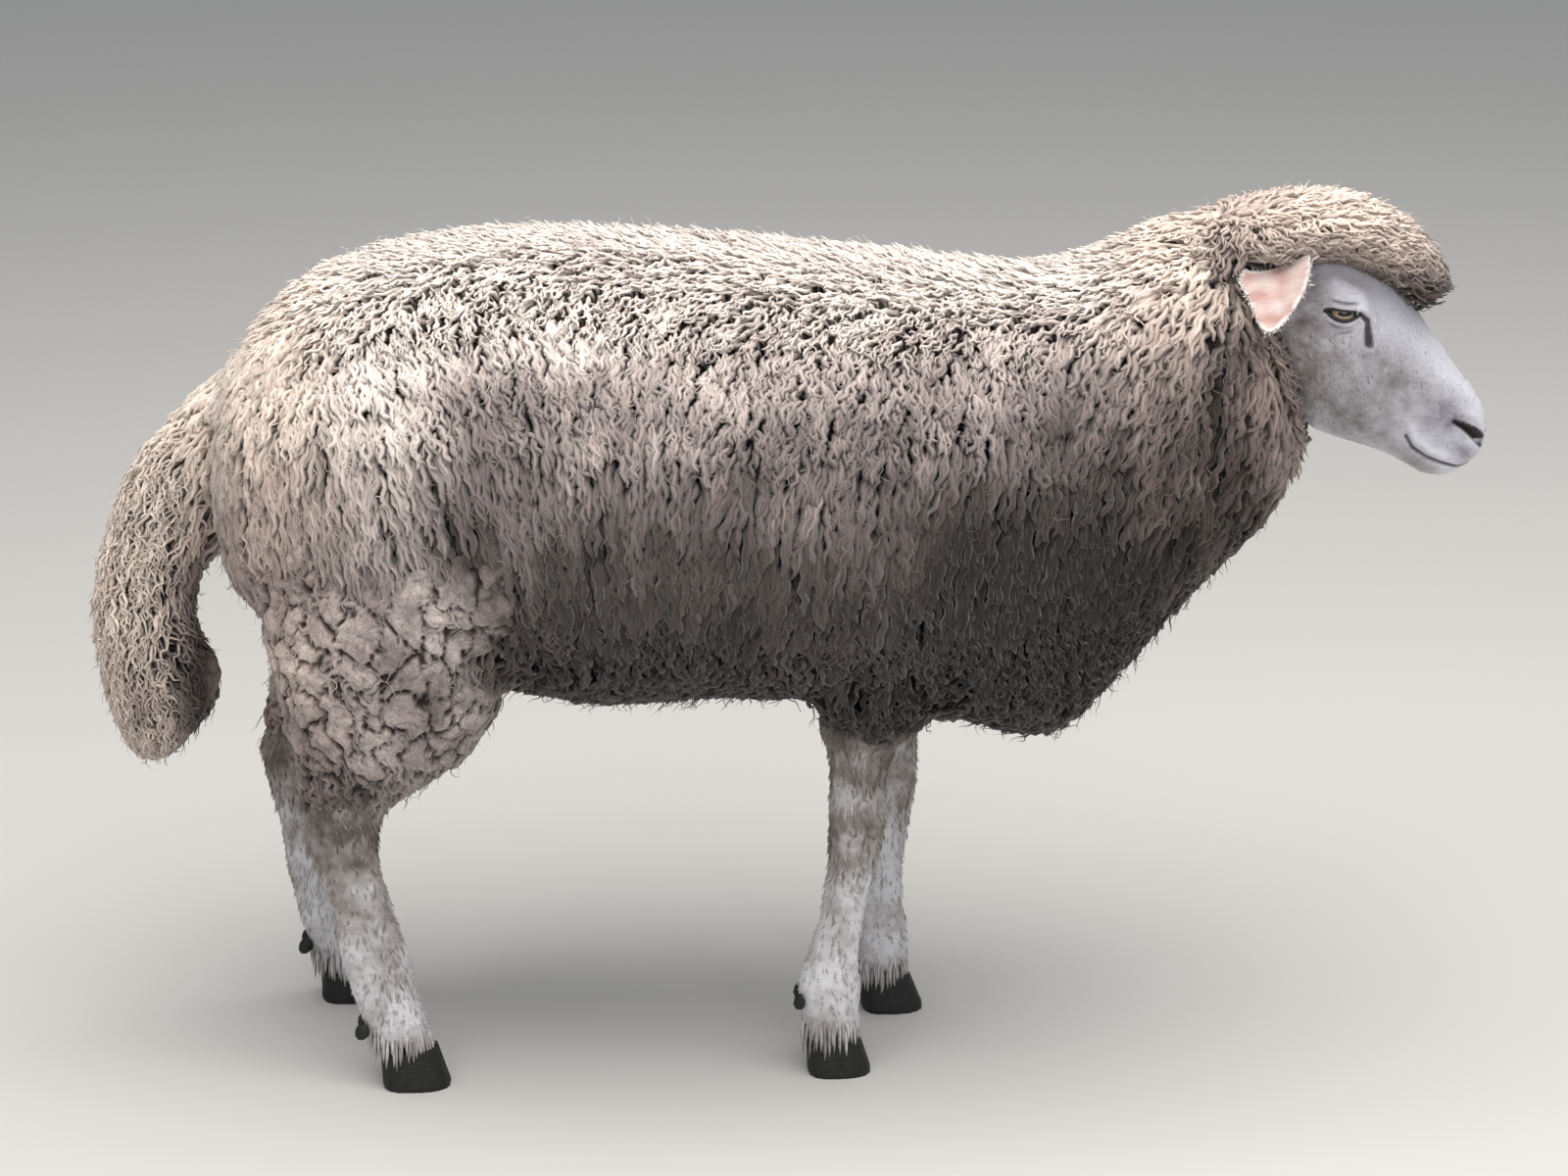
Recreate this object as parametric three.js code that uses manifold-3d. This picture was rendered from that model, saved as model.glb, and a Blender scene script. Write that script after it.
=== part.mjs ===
// A life-size standing sheep in half-length fleece: a white-faced ewe with a woolled poll
// and a long, undocked tail. Every solid reaches out to the tips of the coat it carries.
//
// Millimetres. +X runs from tail to nose, +Y to the animal's left and +Z up. The origin is
// on the floor, under the middle of the body. The animal is shaped from closed lofts, whose
// sections are each a line across the side view, from one edge to the other, with a
// half-width across the body. The lofts are joined and then parted with thin cuts.
import * as THREE from "three";
import { mergeVertices } from "three/addons/utils/BufferGeometryUtils.js";
import Module from "manifold-3d";

const wasm = await Module();
wasm.setup();

// ---------------------------------------------------------------- driving dimensions
const GAP = 0.35; // left between two solids that touch
const SHAPE = { body: 2.2, head: 2.15, cap: 2.1, limb: 2.1, horn: 2.6 }; // superellipse powers

const SKULL_IN_RUFF = 60; // how far the skull reaches back under the wool
const EYE = { s: 61.6, h: 24.4, y: 49.5, radius: 14 }; // in the head's own frame
const BROW = { s: 60, h: 29, y: 48, size: [25, 15, 17] };
const LID_OPENING = { length: 31, height: 12, turn: 10, depth: 26 }; // turn in degrees
const MOUTH = { h: -29.2, jawStart: 118 };
const EAR = { thickness: 3.4, cup: 0.2, baseCup: 0.55 };

const HOOF = { height: 36, width: 22, toe: 10, heel: 5, cleft: 3 };
const DEWCLAW = { radius: 7, length: 19, spread: 13, turn: 28 };

// Where each pair of legs stands: the middle of a foot from the animal's midline, how far
// the left foot is ahead of the right one, and the same at the joint (knee or hock) that
// parts the upper leg from the lower, and how much closer it is to the midline.
const FORE = { y: 74, ahead: 50, aheadAtJoint: 30, closer: 2, jointZ: 262, dewclawZ: 70 };
const HIND = { y: 104, ahead: -74, aheadAtJoint: -58, closer: 8, jointZ: 236, dewclawZ: 54 };
const STRIDE_TOP = 430; // above this height, left and right are alike

// Thin cuts, each a point and a direction in the side view. The direction looks at the piece
// named last.
const CUTS = {
  trunkToNeck: { at: [262, 540], facing: [0.965, 0.26] },
  ruffToHead: { at: [402, 640], facing: [0.93, 0.37] },
  bellyToForeleg: { at: [80, 338], facing: [0, -1], from: 5, to: 152, inside: 14 },
  flankToHindleg: { at: [-330, 408], facing: [-0.36, -0.93], from: -520, to: -185, inside: 20 },
};

// The head's own frame: s runs along it from the back of the skull to the lips, and h away
// from its axis towards the brow.
const HEAD_BACK = new THREE.Vector2(405, 695);
const HEAD_SLOPE = THREE.MathUtils.degToRad(37.7);
const ALONG = new THREE.Vector2(Math.cos(HEAD_SLOPE), -Math.sin(HEAD_SLOPE));
const UPWARD = new THREE.Vector2(Math.sin(HEAD_SLOPE), Math.cos(HEAD_SLOPE));
const onHead = (s, h) => [
  HEAD_BACK.x + ALONG.x * s + UPWARD.x * h,
  HEAD_BACK.y + ALONG.y * s + UPWARD.y * h,
];

// ---------------------------------------------------------------- sections of each loft
// A section joins two edges of the side view, a and b, as [x, z]. y is its middle across
// the body and w its half-width there. With a lean, its widest place sits nearer to b.
const section = (a, b, y, w, lean = 0) => ({ a, b, y, w, lean });

// Rump to throat: the back, and the belly, brisket and breast.
const BODY = [
  section([-487, 560], [-486, 505], 0, 34),
  section([-481, 604], [-482, 466], 0, 88),
  section([-456, 650], [-466, 420], 0, 132),
  section([-395, 703], [-404, 382], 0, 163),
  section([-290, 731], [-292, 354], 0, 184, 0.04),
  section([-166, 737], [-168, 327], 0, 200, 0.08),
  section([-41, 729], [-50, 332], 0, 207, 0.1),
  section([75, 719], [62, 328], 0, 198, 0.08),
  section([160, 708], [166, 305], 0, 182, 0.04),
  section([215, 706], [231, 291], 0, 166, 0.02),
  section([262, 718], [293, 347], 0, 148),
  section([308, 738], [358, 424], 0, 131),
  section([345, 751], [412, 482], 0, 114),
  section([370, 750], [438, 530], 0, 95),
  section([386, 734], [442, 562], 0, 70),
  section([402, 700], [436, 606], 0, 34),
];

// Skull's back to lips: poll, brow and nose, and throat and chin.
const headSection = (s, top, bottom, w, lean = 0) =>
  section(onHead(s, top), onHead(s, bottom), 0, w, lean);
const HEAD = [
  headSection(-46, 22, -24, 24),
  headSection(-34, 44, -46, 42),
  headSection(-8, 58, -60, 53),
  headSection(18, 67, -70, 59),
  headSection(45, 73, -77, 61),
  headSection(72, 74, -82, 60, 0.02),
  headSection(95, 71, -82, 55, 0.06),
  headSection(112, 65.5, -77, 49, 0.1),
  headSection(135, 56.5, -69, 44, 0.14),
  headSection(160, 49, -60, 38.5, 0.16),
  headSection(184, 42, -52.5, 34.5, 0.14),
  headSection(204, 37.5, -50, 33.5, 0.08),
  headSection(220, 31, -47.5, 32, 0.02),
  headSection(232, 21.5, -39, 27.5),
  headSection(240, 11, -25, 19),
  headSection(244, 2, -12, 9),
];

// Nape to forelock: the woolly cap on the poll, whose underside sinks into the skull.
const CAP = [
  section([338, 744], [352, 716], 0, 34),
  section([352, 755], [362, 700], 0, 58),
  section([385, 764], [388, 700], 0, 76),
  section([425, 767.5], [424, 712], 0, 80),
  section([468, 767], [460, 721], 0, 79),
  section([506, 759], [492, 712], 0, 73),
  section([537, 741], [516, 694], 0, 63),
  section([556, 718], [532, 675], 0, 47),
  section([564, 699], [545, 674], 0, 28),
  section([563, 688], [554, 678], 0, 9),
];

// Tail root to tip: the outer edge, and the one towards the legs.
const TAIL = [
  section([-468, 628], [-448, 560], 0, 30),
  section([-494, 606], [-458, 525], 0, 42),
  section([-526, 575], [-478, 497], 0, 46),
  section([-561, 534], [-486, 467], 0, 45),
  section([-586, 480], [-499, 440], 0, 45),
  section([-600, 430], [-508, 414], 0, 46),
  section([-604, 385], [-508, 385], 0, 49),
  section([-598, 338], [-491, 350], 0, 52),
  section([-588, 298], [-495, 312], 0, 46),
  section([-573, 270], [-515, 287], 0, 33),
  section([-556, 260], [-532, 271], 0, 14),
];

// Thigh or shoulder to coronet, on the right side: the front edge and the back one.
const level = (z, front, back, y, w) => section([front, z], [back, z], -y, w);
const HINDLEG = [
  level(520, -262, -430, 84, 60),
  level(470, -232, -452, 92, 74),
  level(420, -218, -446, 97, 74),
  level(380, -222, -437, 100, 69),
  level(338, -244, -428, 102, 59),
  level(302, -266, -421, 103, 48),
  level(276, -300, -418, 104, 38),
  level(257, -334, -417, 104, 30),
  level(238, -345, -416, 104, 25),
  level(207, -347, -407, 104, 21.5),
  level(167, -336, -395, 104, 19.5),
  level(124, -323, -387, 104, 19),
  level(84, -316, -376, 104, 21),
  level(60, -309, -367, 104, 24),
  level(HOOF.height, -300, -353, HIND.y, 23.5),
];
const FORELEG = [
  level(470, 140, 20, 72, 50),
  level(420, 158, 6, 78, 72),
  level(375, 158, 10, 80, 72),
  level(345, 146, 18, 79, 62),
  level(322, 122, 27, 76, 47),
  level(303, 99, 34, 74, 33),
  level(274, 90, 38, 74, 27),
  level(245, 89, 37, 74, 25),
  level(220, 88, 37, 74, 25.5),
  level(188, 80, 36, 74, 21.5),
  level(138, 69, 28, 74, 18.5),
  level(104, 67, 16, 74, 19.5),
  level(78, 69, 9, 74, 23),
  level(58, 67.5, 13, 74, 24),
  level(HOOF.height, 66.5, 17, FORE.y, 23.5),
];

// ---------------------------------------------------------------- making solids
function solidFrom(geometry) {
  geometry.deleteAttribute("normal");
  geometry.deleteAttribute("uv");
  const merged = mergeVertices(geometry, 1e-3);
  const triVerts = new Uint32Array(merged.index.array);
  const vertProperties = merged.attributes.position.array;
  return new wasm.Manifold(new wasm.Mesh({ numProp: 3, vertProperties, triVerts }));
}

// A closed surface through rings of equal length, with each end filled from its middle.
// The rings turn so that the faces between them point outwards.
function skinOver(rings) {
  const sides = rings[0].length;
  const points = rings.flat();
  const index = [];
  for (let r = 0; r + 1 < rings.length; r++) {
    for (let i = 0; i < sides; i++) {
      const here = r * sides + i;
      const next = r * sides + ((i + 1) % sides);
      index.push(here, next, next + sides, here, next + sides, here + sides);
    }
  }
  const closeEnd = (first, facingBack) => {
    const middle = new THREE.Vector3();
    for (let i = 0; i < sides; i++) middle.addScaledVector(points[first + i], 1 / sides);
    points.push(middle);
    for (let i = 0; i < sides; i++) {
      const pair = [first + i, first + ((i + 1) % sides)];
      if (facingBack) pair.reverse();
      index.push(points.length - 1, ...pair);
    }
  };
  closeEnd(0, true);
  closeEnd((rings.length - 1) * sides, false);
  const geometry = new THREE.BufferGeometry().setFromPoints(points);
  geometry.setIndex(index);
  const made = solidFrom(geometry);
  if (made.volume() > 0) return made;
  for (let i = 0; i < index.length; i += 3) index.splice(i, 3, index[i], index[i + 2], index[i + 1]);
  geometry.setIndex(index);
  return solidFrom(geometry);
}

// A superellipse across the side view's line from a to b, which are Vector2.
function ring({ a, b, y, w, lean }, sides, power, grow = 0) {
  const middle = a.clone().add(b).multiplyScalar(0.5);
  const half = a.clone().sub(b).multiplyScalar(0.5);
  half.setLength(half.length() + grow);
  const round = (v) => Math.sign(v) * Math.abs(v) ** (2 / power);
  return Array.from({ length: sides }, (_, i) => {
    const turn = (2 * Math.PI * i) / sides;
    const up = round(Math.cos(turn));
    const out = round(Math.sin(turn)) * (w + grow) * (1 - lean * Math.cos(turn));
    return new THREE.Vector3(middle.x + half.x * up, y + out, middle.y + half.y * up);
  });
}

// The same loft, `grow` larger on every side, is what cuts its neighbours.
function loft(sections, { sides, steps, power, grow = 0 }) {
  const smooth = (pick) =>
    new THREE.CatmullRomCurve3(sections.map((s) => new THREE.Vector3(...pick(s))));
  const edgeA = smooth(({ a, y }) => [...a, y]);
  const edgeB = smooth(({ b, w }) => [...b, w]);
  const last = sections.length - 1;
  const leanAt = (place) => {
    const low = Math.min(Math.floor(place), last - 1);
    return THREE.MathUtils.lerp(sections[low].lean, sections[low + 1].lean, place - low);
  };
  const rings = Array.from({ length: last * steps + 1 }, (_, i) => {
    const p = edgeA.getPoint(i / (last * steps));
    const q = edgeB.getPoint(i / (last * steps));
    const [a, b] = [p, q].map((v) => new THREE.Vector2(v.x, v.y));
    return ring({ a, b, y: p.z, w: q.z, lean: leanAt(i / steps) }, sides, power, grow);
  });
  if (grow > 0) {
    const centre = (points) =>
      points.reduce((sum, q) => sum.add(q), new THREE.Vector3()).divideScalar(sides);
    const beyondEnd = (end, inner) => {
      const out = centre(end).sub(centre(inner)).setLength(grow);
      return end.map((q) => q.clone().add(out));
    };
    rings.unshift(beyondEnd(rings[0], rings[1]));
    rings.push(beyondEnd(rings.at(-1), rings.at(-2)));
  }
  return skinOver(rings);
}

// All of space that a cut's direction looks at, drawn back by `shift`.
const FAR = 3000;
function spaceBeyond({ at: [x, z], facing: [fx, fz] }, shift = 0) {
  const facing = new THREE.Vector2(fx, fz).normalize();
  const reach = FAR / 2 + shift;
  const geometry = new THREE.BoxGeometry(FAR, FAR, FAR);
  geometry.rotateY(-facing.angle());
  geometry.translate(x + facing.x * reach, 0, z + facing.y * reach);
  return solidFrom(geometry);
}
const reversed = ({ at, facing: [fx, fz] }) => ({ at, facing: [-fx, -fz] });

function block([width, depth, height], [x, y, z]) {
  const geometry = new THREE.BoxGeometry(width, depth, height);
  geometry.translate(x, y, z);
  return solidFrom(geometry);
}

function ball(radii, centre, across, up) {
  const geometry = new THREE.SphereGeometry(1, across, up);
  geometry.scale(...radii);
  geometry.translate(...centre);
  return solidFrom(geometry);
}

const mirrored = (solid) => solid.mirror([0, 1, 0]);
const onBothSides = (solid) => solid.add(mirrored(solid));
const largest = (solid) => solid.decompose().sort((p, q) => q.volume() - p.volume())[0];

// ---------------------------------------------------------------- head
const headPoint = ({ s, h, y }) => {
  const [x, z] = onHead(s, h);
  return [x, y, z];
};
const rightSide = (place) => headPoint({ ...place, y: -place.y });

function eyeball(grow = 0) {
  const radius = EYE.radius + grow;
  return ball([radius, radius, radius], rightSide(EYE), 14, 9);
}

// The almond between the lids, cut through to the eyeball.
function lidOpening() {
  const { length, height, turn, depth } = LID_OPENING;
  const almond = new THREE.Shape();
  almond.moveTo(-length / 2, 0);
  almond.quadraticCurveTo(0, height, length / 2, 0);
  almond.quadraticCurveTo(0, -height, -length / 2, 0);
  const geometry = new THREE.ExtrudeGeometry(almond, {
    depth,
    bevelEnabled: false,
    curveSegments: 6,
  });
  geometry.rotateX(Math.PI / 2);
  geometry.rotateY(HEAD_SLOPE - THREE.MathUtils.degToRad(turn));
  geometry.translate(...rightSide({ ...EYE, y: EYE.y - 2 }));
  return solidFrom(geometry);
}

// A comma-shaped hollow that runs forward and in across the muzzle.
const NOSTRIL = [
  { s: 203, h: 10, y: 33, r: 1 },
  { s: 209, h: 10, y: 31, r: 3 },
  { s: 217, h: 9.5, y: 28.5, r: 4.2 },
  { s: 226, h: 8.5, y: 25, r: 4.6 },
  { s: 233, h: 7.5, y: 20, r: 3.6 },
  { s: 238, h: 7, y: 15, r: 1.2 },
];
function nostril() {
  const rings = NOSTRIL.map((place) => {
    const centre = new THREE.Vector3(...rightSide(place));
    return Array.from({ length: 8 }, (_, i) => {
      const turn = (2 * Math.PI * i) / 8;
      const up = Math.cos(turn) * place.r;
      const out = Math.sin(turn) * place.r * 1.6;
      return new THREE.Vector3(UPWARD.x * up, out, UPWARD.y * up).add(centre);
    });
  });
  return skinOver(rings);
}

// A leaf-shaped ear, cupped along its length, that stands out sideways and droops.
const EAR_LINE = [
  [405, -42, 729],
  [409, -62, 721],
  [408, -92, 704],
  [399, -129, 678],
];
const EAR_HALF_WIDTHS = [9, 13, 22, 30, 33, 31, 25, 16.5, 6]; // from base to tip
const EAR_ACROSS = new THREE.Vector3(0.95, -0.1, 0.28).normalize();
function ear() {
  const line = new THREE.CatmullRomCurve3(EAR_LINE.map((p) => new THREE.Vector3(...p)));
  const across = 7; // points from edge to edge
  const rings = EAR_HALF_WIDTHS.map((half, k) => {
    const t = k / (EAR_HALF_WIDTHS.length - 1);
    const centre = line.getPoint(t);
    const along = line.getTangent(t);
    const outward = EAR_ACROSS.clone().cross(along).normalize();
    const edgeward = along.clone().cross(outward).normalize();
    const cup = half * (EAR.cup + EAR.baseCup * (1 - t) ** 2);
    const at = (u, lift) =>
      centre
        .clone()
        .addScaledVector(edgeward, u * half)
        .addScaledVector(outward, lift - cup * u * u);
    const thickness = EAR.thickness * (1 - 0.3 * t);
    const place = (i) => (2 * i) / (across - 1) - 1;
    const upper = Array.from({ length: across }, (_, i) => at(place(i), 0));
    const lower = Array.from({ length: across - 2 }, (_, i) => at(-place(i + 1), -thickness));
    return [...upper, ...lower];
  });
  return skinOver(rings);
}

// ---------------------------------------------------------------- legs and feet
// One of the two hooves of a foot: upright along the cleft, rounded outside, flat below.
function hoof(coronet, side) {
  const [front, back] = [coronet.a[0], coronet.b[0]];
  const { height, width, toe, heel, cleft } = HOOF;
  const levels = [
    { z: 0, toe, heel, w: width },
    { z: 3, toe: toe - 0.5, heel: heel - 2, w: width + 0.6 },
    { z: height - GAP, toe: -1, heel: 2, w: width - 2 },
  ];
  const rings = levels.map((at) => {
    const a = new THREE.Vector2(front + at.toe, at.z);
    const b = new THREE.Vector2(back + at.heel, at.z);
    return ring({ a, b, y: 0, w: at.w, lean: 0.16 }, 16, SHAPE.horn).map(
      (p) => new THREE.Vector3(p.x, coronet.y + side * (cleft / 2 + Math.max(p.y, 0)), p.z),
    );
  });
  return skinOver(rings);
}

// A small blunt horn behind the fetlock.
function dewclaw(back, z, y, side) {
  const { radius, length, spread, turn } = DEWCLAW;
  const geometry = new THREE.SphereGeometry(1, 8, 6);
  geometry.scale(radius, radius * 0.8, length / 2);
  geometry.rotateY(THREE.MathUtils.degToRad(turn));
  geometry.translate(back + radius * 0.3, y + side * spread, z);
  return solidFrom(geometry);
}

// The pieces of a right leg by name, and of a left one: mirrored, and leant until its foot
// stands where a stride puts it.
function legPieces(sections, stance) {
  const shape = { sides: 14, steps: 1, power: SHAPE.limb };
  const grown = loft(sections, { ...shape, grow: GAP });
  const coronet = sections.at(-1);
  const fetlock = sections.at(-2);
  const right = { leg: loft(sections, shape) };
  for (const [place, side] of [["outer", -1], ["inner", 1]]) {
    right["hoof_" + place] = hoof(coronet, side);
    const horn = dewclaw(fetlock.b[0], stance.dewclawZ, coronet.y, side);
    right["dewclaw_" + place] = horn.subtract(grown);
  }
  const step = (v) => {
    const fade = 1 - THREE.MathUtils.smoothstep(v[2], stance.jointZ, STRIDE_TOP);
    const down = THREE.MathUtils.clamp(1 - v[2] / stance.jointZ, 0, 1);
    v[0] += fade * THREE.MathUtils.lerp(stance.aheadAtJoint, stance.ahead, down);
    v[1] -= fade * stance.closer;
  };
  const left = {};
  for (const [name, solid] of Object.entries(right)) left[name] = mirrored(solid).warp(step);
  return { right, left };
}

// What of the joined flesh is leg, on one side.
function legSpace({ at, facing, from, to, inside }, side, grow) {
  const sign = side === "right" ? -1 : 1;
  const size = [to - from + 2 * grow, FAR + 2 * grow, FAR];
  const box = block(size, [(from + to) / 2, sign * (inside + FAR / 2), 0]);
  return box.intersect(spaceBeyond({ at, facing }, -grow));
}

// ---------------------------------------------------------------- the sheep
const LOOKS = {
  wool: new THREE.MeshStandardMaterial({ color: 0xcdbfae, roughness: 0.95 }),
  face: new THREE.MeshStandardMaterial({ color: 0xd8d0c8, roughness: 0.85 }),
  leg: new THREE.MeshStandardMaterial({ color: 0xc9c2b8, roughness: 0.88 }),
  ear: new THREE.MeshStandardMaterial({ color: 0xdcb5a6, roughness: 0.8 }),
  horn: new THREE.MeshStandardMaterial({ color: 0x2b2622, roughness: 0.5 }),
  eye: new THREE.MeshStandardMaterial({ color: 0x8a7440, roughness: 0.1 }),
};

const sheep = new THREE.Group();
sheep.name = "sheep";

function addNode(name, solid, look) {
  const mesh = largest(solid).getMesh();
  const geometry = new THREE.BufferGeometry();
  geometry.setAttribute("position", new THREE.BufferAttribute(mesh.vertProperties, mesh.numProp));
  geometry.setIndex(new THREE.BufferAttribute(mesh.triVerts, 1));
  geometry.computeVertexNormals();
  const node = new THREE.Mesh(geometry, LOOKS[look]);
  node.name = name;
  sheep.add(node);
}

const bodyShape = { sides: 24, steps: 2, power: SHAPE.body };
const headShape = { sides: 22, steps: 1, power: SHAPE.head };
const capShape = { sides: 18, steps: 1, power: SHAPE.cap };
const grownBody = loft(BODY, { ...bodyShape, grow: GAP });
const grownHead = loft(HEAD, { ...headShape, grow: GAP });
const grownCap = loft(CAP, { ...capShape, grow: GAP });
const wool = loft(BODY, bodyShape).subtract(grownHead);

// Legs are grown into the trunk, then cut away below a line through armpit or flank.
const limbs = {
  foreleg: { stance: FORE, cut: CUTS.bellyToForeleg, pieces: legPieces(FORELEG, FORE) },
  hindleg: { stance: HIND, cut: CUTS.flankToHindleg, pieces: legPieces(HINDLEG, HIND) },
};
let flesh = wool;
for (const { pieces } of Object.values(limbs)) {
  flesh = flesh.add(pieces.right.leg).add(pieces.left.leg);
}
let trunk = flesh.subtract(spaceBeyond(CUTS.trunkToNeck, -GAP / 2));
for (const [limb, { stance, cut, pieces }] of Object.entries(limbs)) {
  const joint = { at: [0, stance.jointZ], facing: [0, 1] };
  for (const side of ["right", "left"]) {
    const { leg, ...feet } = pieces[side];
    const whole = flesh.intersect(legSpace(cut, side, 0));
    trunk = trunk.subtract(legSpace(cut, side, GAP));
    const name = limb + "_" + side;
    addNode(name + "_upper", whole.intersect(spaceBeyond(joint, GAP / 2)), "wool");
    addNode(name + "_lower", whole.subtract(spaceBeyond(joint, -GAP / 2)), "leg");
    for (const [piece, solid] of Object.entries(feet)) addNode(name + "_" + piece, solid, "horn");
  }
}
addNode("trunk", trunk, "wool");
addNode("neck", wool.intersect(spaceBeyond(CUTS.trunkToNeck, GAP / 2)), "wool");
addNode("tail", loft(TAIL, { sides: 12, steps: 2, power: 2 }).subtract(grownBody), "wool");
addNode("topknot", loft(CAP, capShape).subtract(grownHead).subtract(grownBody), "wool");

// The face: brows are added, and eyes, nostrils and the mouth are cut in.
const brow = ball(BROW.size, rightSide(BROW), 12, 8);
const hollows = lidOpening().add(nostril()).add(eyeball(GAP));
const face = loft(HEAD, headShape)
  .add(onBothSides(brow))
  .subtract(onBothSides(hollows))
  .subtract(spaceBeyond(reversed(CUTS.ruffToHead), SKULL_IN_RUFF))
  .subtract(grownCap);
const belowMouth = { at: onHead(0, MOUTH.h), facing: [-UPWARD.x, -UPWARD.y] };
const aheadOfJaw = { at: onHead(MOUTH.jawStart, 0), facing: [ALONG.x, ALONG.y] };
const jawSpace = (grow) =>
  spaceBeyond(belowMouth, -grow).intersect(spaceBeyond(aheadOfJaw, -grow));
addNode("head", face.subtract(jawSpace(GAP)), "face");
addNode("lower_jaw", face.intersect(jawSpace(0)), "face");

const covered = grownHead.add(grownBody).add(grownCap);
for (const side of ["right", "left"]) {
  const own = (solid) => (side === "right" ? solid : mirrored(solid));
  addNode("ear_" + side, own(ear()).subtract(covered), "ear");
  addNode("eye_" + side, own(eyeball()), "eye");
}

export default sheep;
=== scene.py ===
# %% [markdown]
# # A standing ewe in half-length fleece
#
# This lesson dresses the solids of a life-size sheep: one skin, eyes, hooves and a coat of
# some twenty thousand locks. The solids reach out to the tips of the coat, so they are the
# guide that every lock is laid against. The skin lies deeper, by the length of the wool.
#
# Everything is in metres, as the frame is. `MM` turns a size in millimetres into metres.

# %% The frame
import math

import bmesh
import bpy
import numpy as np
from mathutils import Matrix, Vector, noise
from mathutils.bvhtree import BVHTree
from mathutils.kdtree import KDTree


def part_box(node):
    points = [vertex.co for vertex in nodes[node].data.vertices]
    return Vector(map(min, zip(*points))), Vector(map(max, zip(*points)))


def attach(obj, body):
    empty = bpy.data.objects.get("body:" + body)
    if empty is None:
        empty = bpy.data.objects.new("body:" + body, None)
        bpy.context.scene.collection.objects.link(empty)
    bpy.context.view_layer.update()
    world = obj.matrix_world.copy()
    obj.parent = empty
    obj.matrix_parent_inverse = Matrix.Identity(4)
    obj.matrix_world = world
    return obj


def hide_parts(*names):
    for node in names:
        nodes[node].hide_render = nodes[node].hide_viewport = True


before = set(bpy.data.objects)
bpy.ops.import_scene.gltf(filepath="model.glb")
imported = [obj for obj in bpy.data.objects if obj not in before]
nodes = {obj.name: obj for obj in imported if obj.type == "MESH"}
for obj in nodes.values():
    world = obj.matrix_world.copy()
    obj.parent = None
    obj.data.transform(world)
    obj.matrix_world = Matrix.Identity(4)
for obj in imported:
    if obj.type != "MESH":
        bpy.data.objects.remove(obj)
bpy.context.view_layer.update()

MM = 0.001
BOTH_SIDES = (("right", -1), ("left", 1))  # with the sign of y there
random = np.random.default_rng(20)

# %% [markdown]
# ## Camera and light
#
# A full-grown ewe is looked at from standing height and some four metres away, so the camera
# looks down a little. The light is an overcast sky: one very large soft light overhead and
# a weak one from the camera's side. Hard lights would show each lock's edge but would lose
# the soft, shadowed depth that makes a fleece read as wool. The floor is painted matt, so
# that it takes soft shadows, mirrors nothing, and sends some light back up under the belly.

# %% Camera
DISTANCE = 3.7
ELEVATION = math.radians(17)
VIEW_WIDTH = math.radians(20.83)
AIM = Vector((0, 0, 0.4197))


def in_scene(name, data):
    """A new object in the scene, at the origin."""
    made = bpy.data.objects.new(name, data)
    bpy.context.collection.objects.link(made)
    return made


lens = bpy.data.cameras.new("camera")
lens.angle = VIEW_WIDTH
camera = in_scene("camera", lens)
towards_camera = Vector((0, -math.cos(ELEVATION), math.sin(ELEVATION)))
camera.location = AIM + towards_camera * DISTANCE
camera.rotation_euler = (math.pi / 2 - ELEVATION, 0, 0)
bpy.context.scene.camera = camera
print(f"camera: {camera.location.z:.2f} m above the floor")


# %% Lights
def linear(colour):
    """An sRGB hex colour as linear red, green and blue."""
    channels = np.array([int(colour[i : i + 2], 16) / 255 for i in (1, 3, 5)])
    low, high = channels / 12.92, ((channels + 0.055) / 1.055) ** 2.4
    return np.where(channels <= 0.04045, low, high)


def soft_light(name, place, aim, size, power, colour="#ffffff"):
    lamp = bpy.data.lights.new(name, "AREA")
    lamp.shape, lamp.size, lamp.size_y = "RECTANGLE", size[0], size[1]
    lamp.energy, lamp.color = power, linear(colour)
    light = in_scene(name, lamp)
    light.location = place
    light.rotation_euler = (Vector(aim) - Vector(place)).to_track_quat("-Z", "Y").to_euler()


soft_light("sky", (0.2, -0.7, 3.4), (0, 0, 0.4), (5.0, 3.4), 172, "#fffaf4")
soft_light("fill", (0.8, -4.2, 1.9), (0, 0, 0.4), (3.0, 2.0), 36)

world = bpy.data.worlds.new("studio")
world.use_nodes = True
world.node_tree.nodes["Background"].inputs["Color"].default_value = (*linear("#dfe3e8"), 1)
world.node_tree.nodes["Background"].inputs["Strength"].default_value = 0.42
bpy.context.scene.world = world
bpy.context.scene.view_settings.view_transform = "Standard"
print("lights: a sky, a fill and a grey room")

# %% Floor
FLOOR_HALF_WIDTH = 15

bm = bmesh.new()
bmesh.ops.create_grid(bm, x_segments=1, y_segments=1, size=FLOOR_HALF_WIDTH)
floor_mesh = bpy.data.meshes.new("floor")
bm.to_mesh(floor_mesh)
bm.free()
floor_paint = bpy.data.materials.new("matt_floor_paint")
floor_paint.use_nodes = True
paint = floor_paint.node_tree.nodes["Principled BSDF"]
paint.inputs["Base Color"].default_value = (*linear("#d6d5d2"), 1)
paint.inputs["Roughness"].default_value = 0.9
floor_mesh.materials.append(floor_paint)
floor = in_scene("floor", floor_mesh)
print(f"floor: {2 * FLOOR_HALF_WIDTH} m wide")


# %% [markdown]
# ## The outline of the coat
#
# The flesh comes as thirteen solids, parted where a person would name them. They are swollen
# by a hair's breadth, so that the thin cuts close, and a voxel remesh wraps them in one even
# surface. Booleans would also join them, but would keep every facet and every cut's edge.
# Balls fill the eye sockets and the nostrils first, because both are modelled afresh later.

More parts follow.
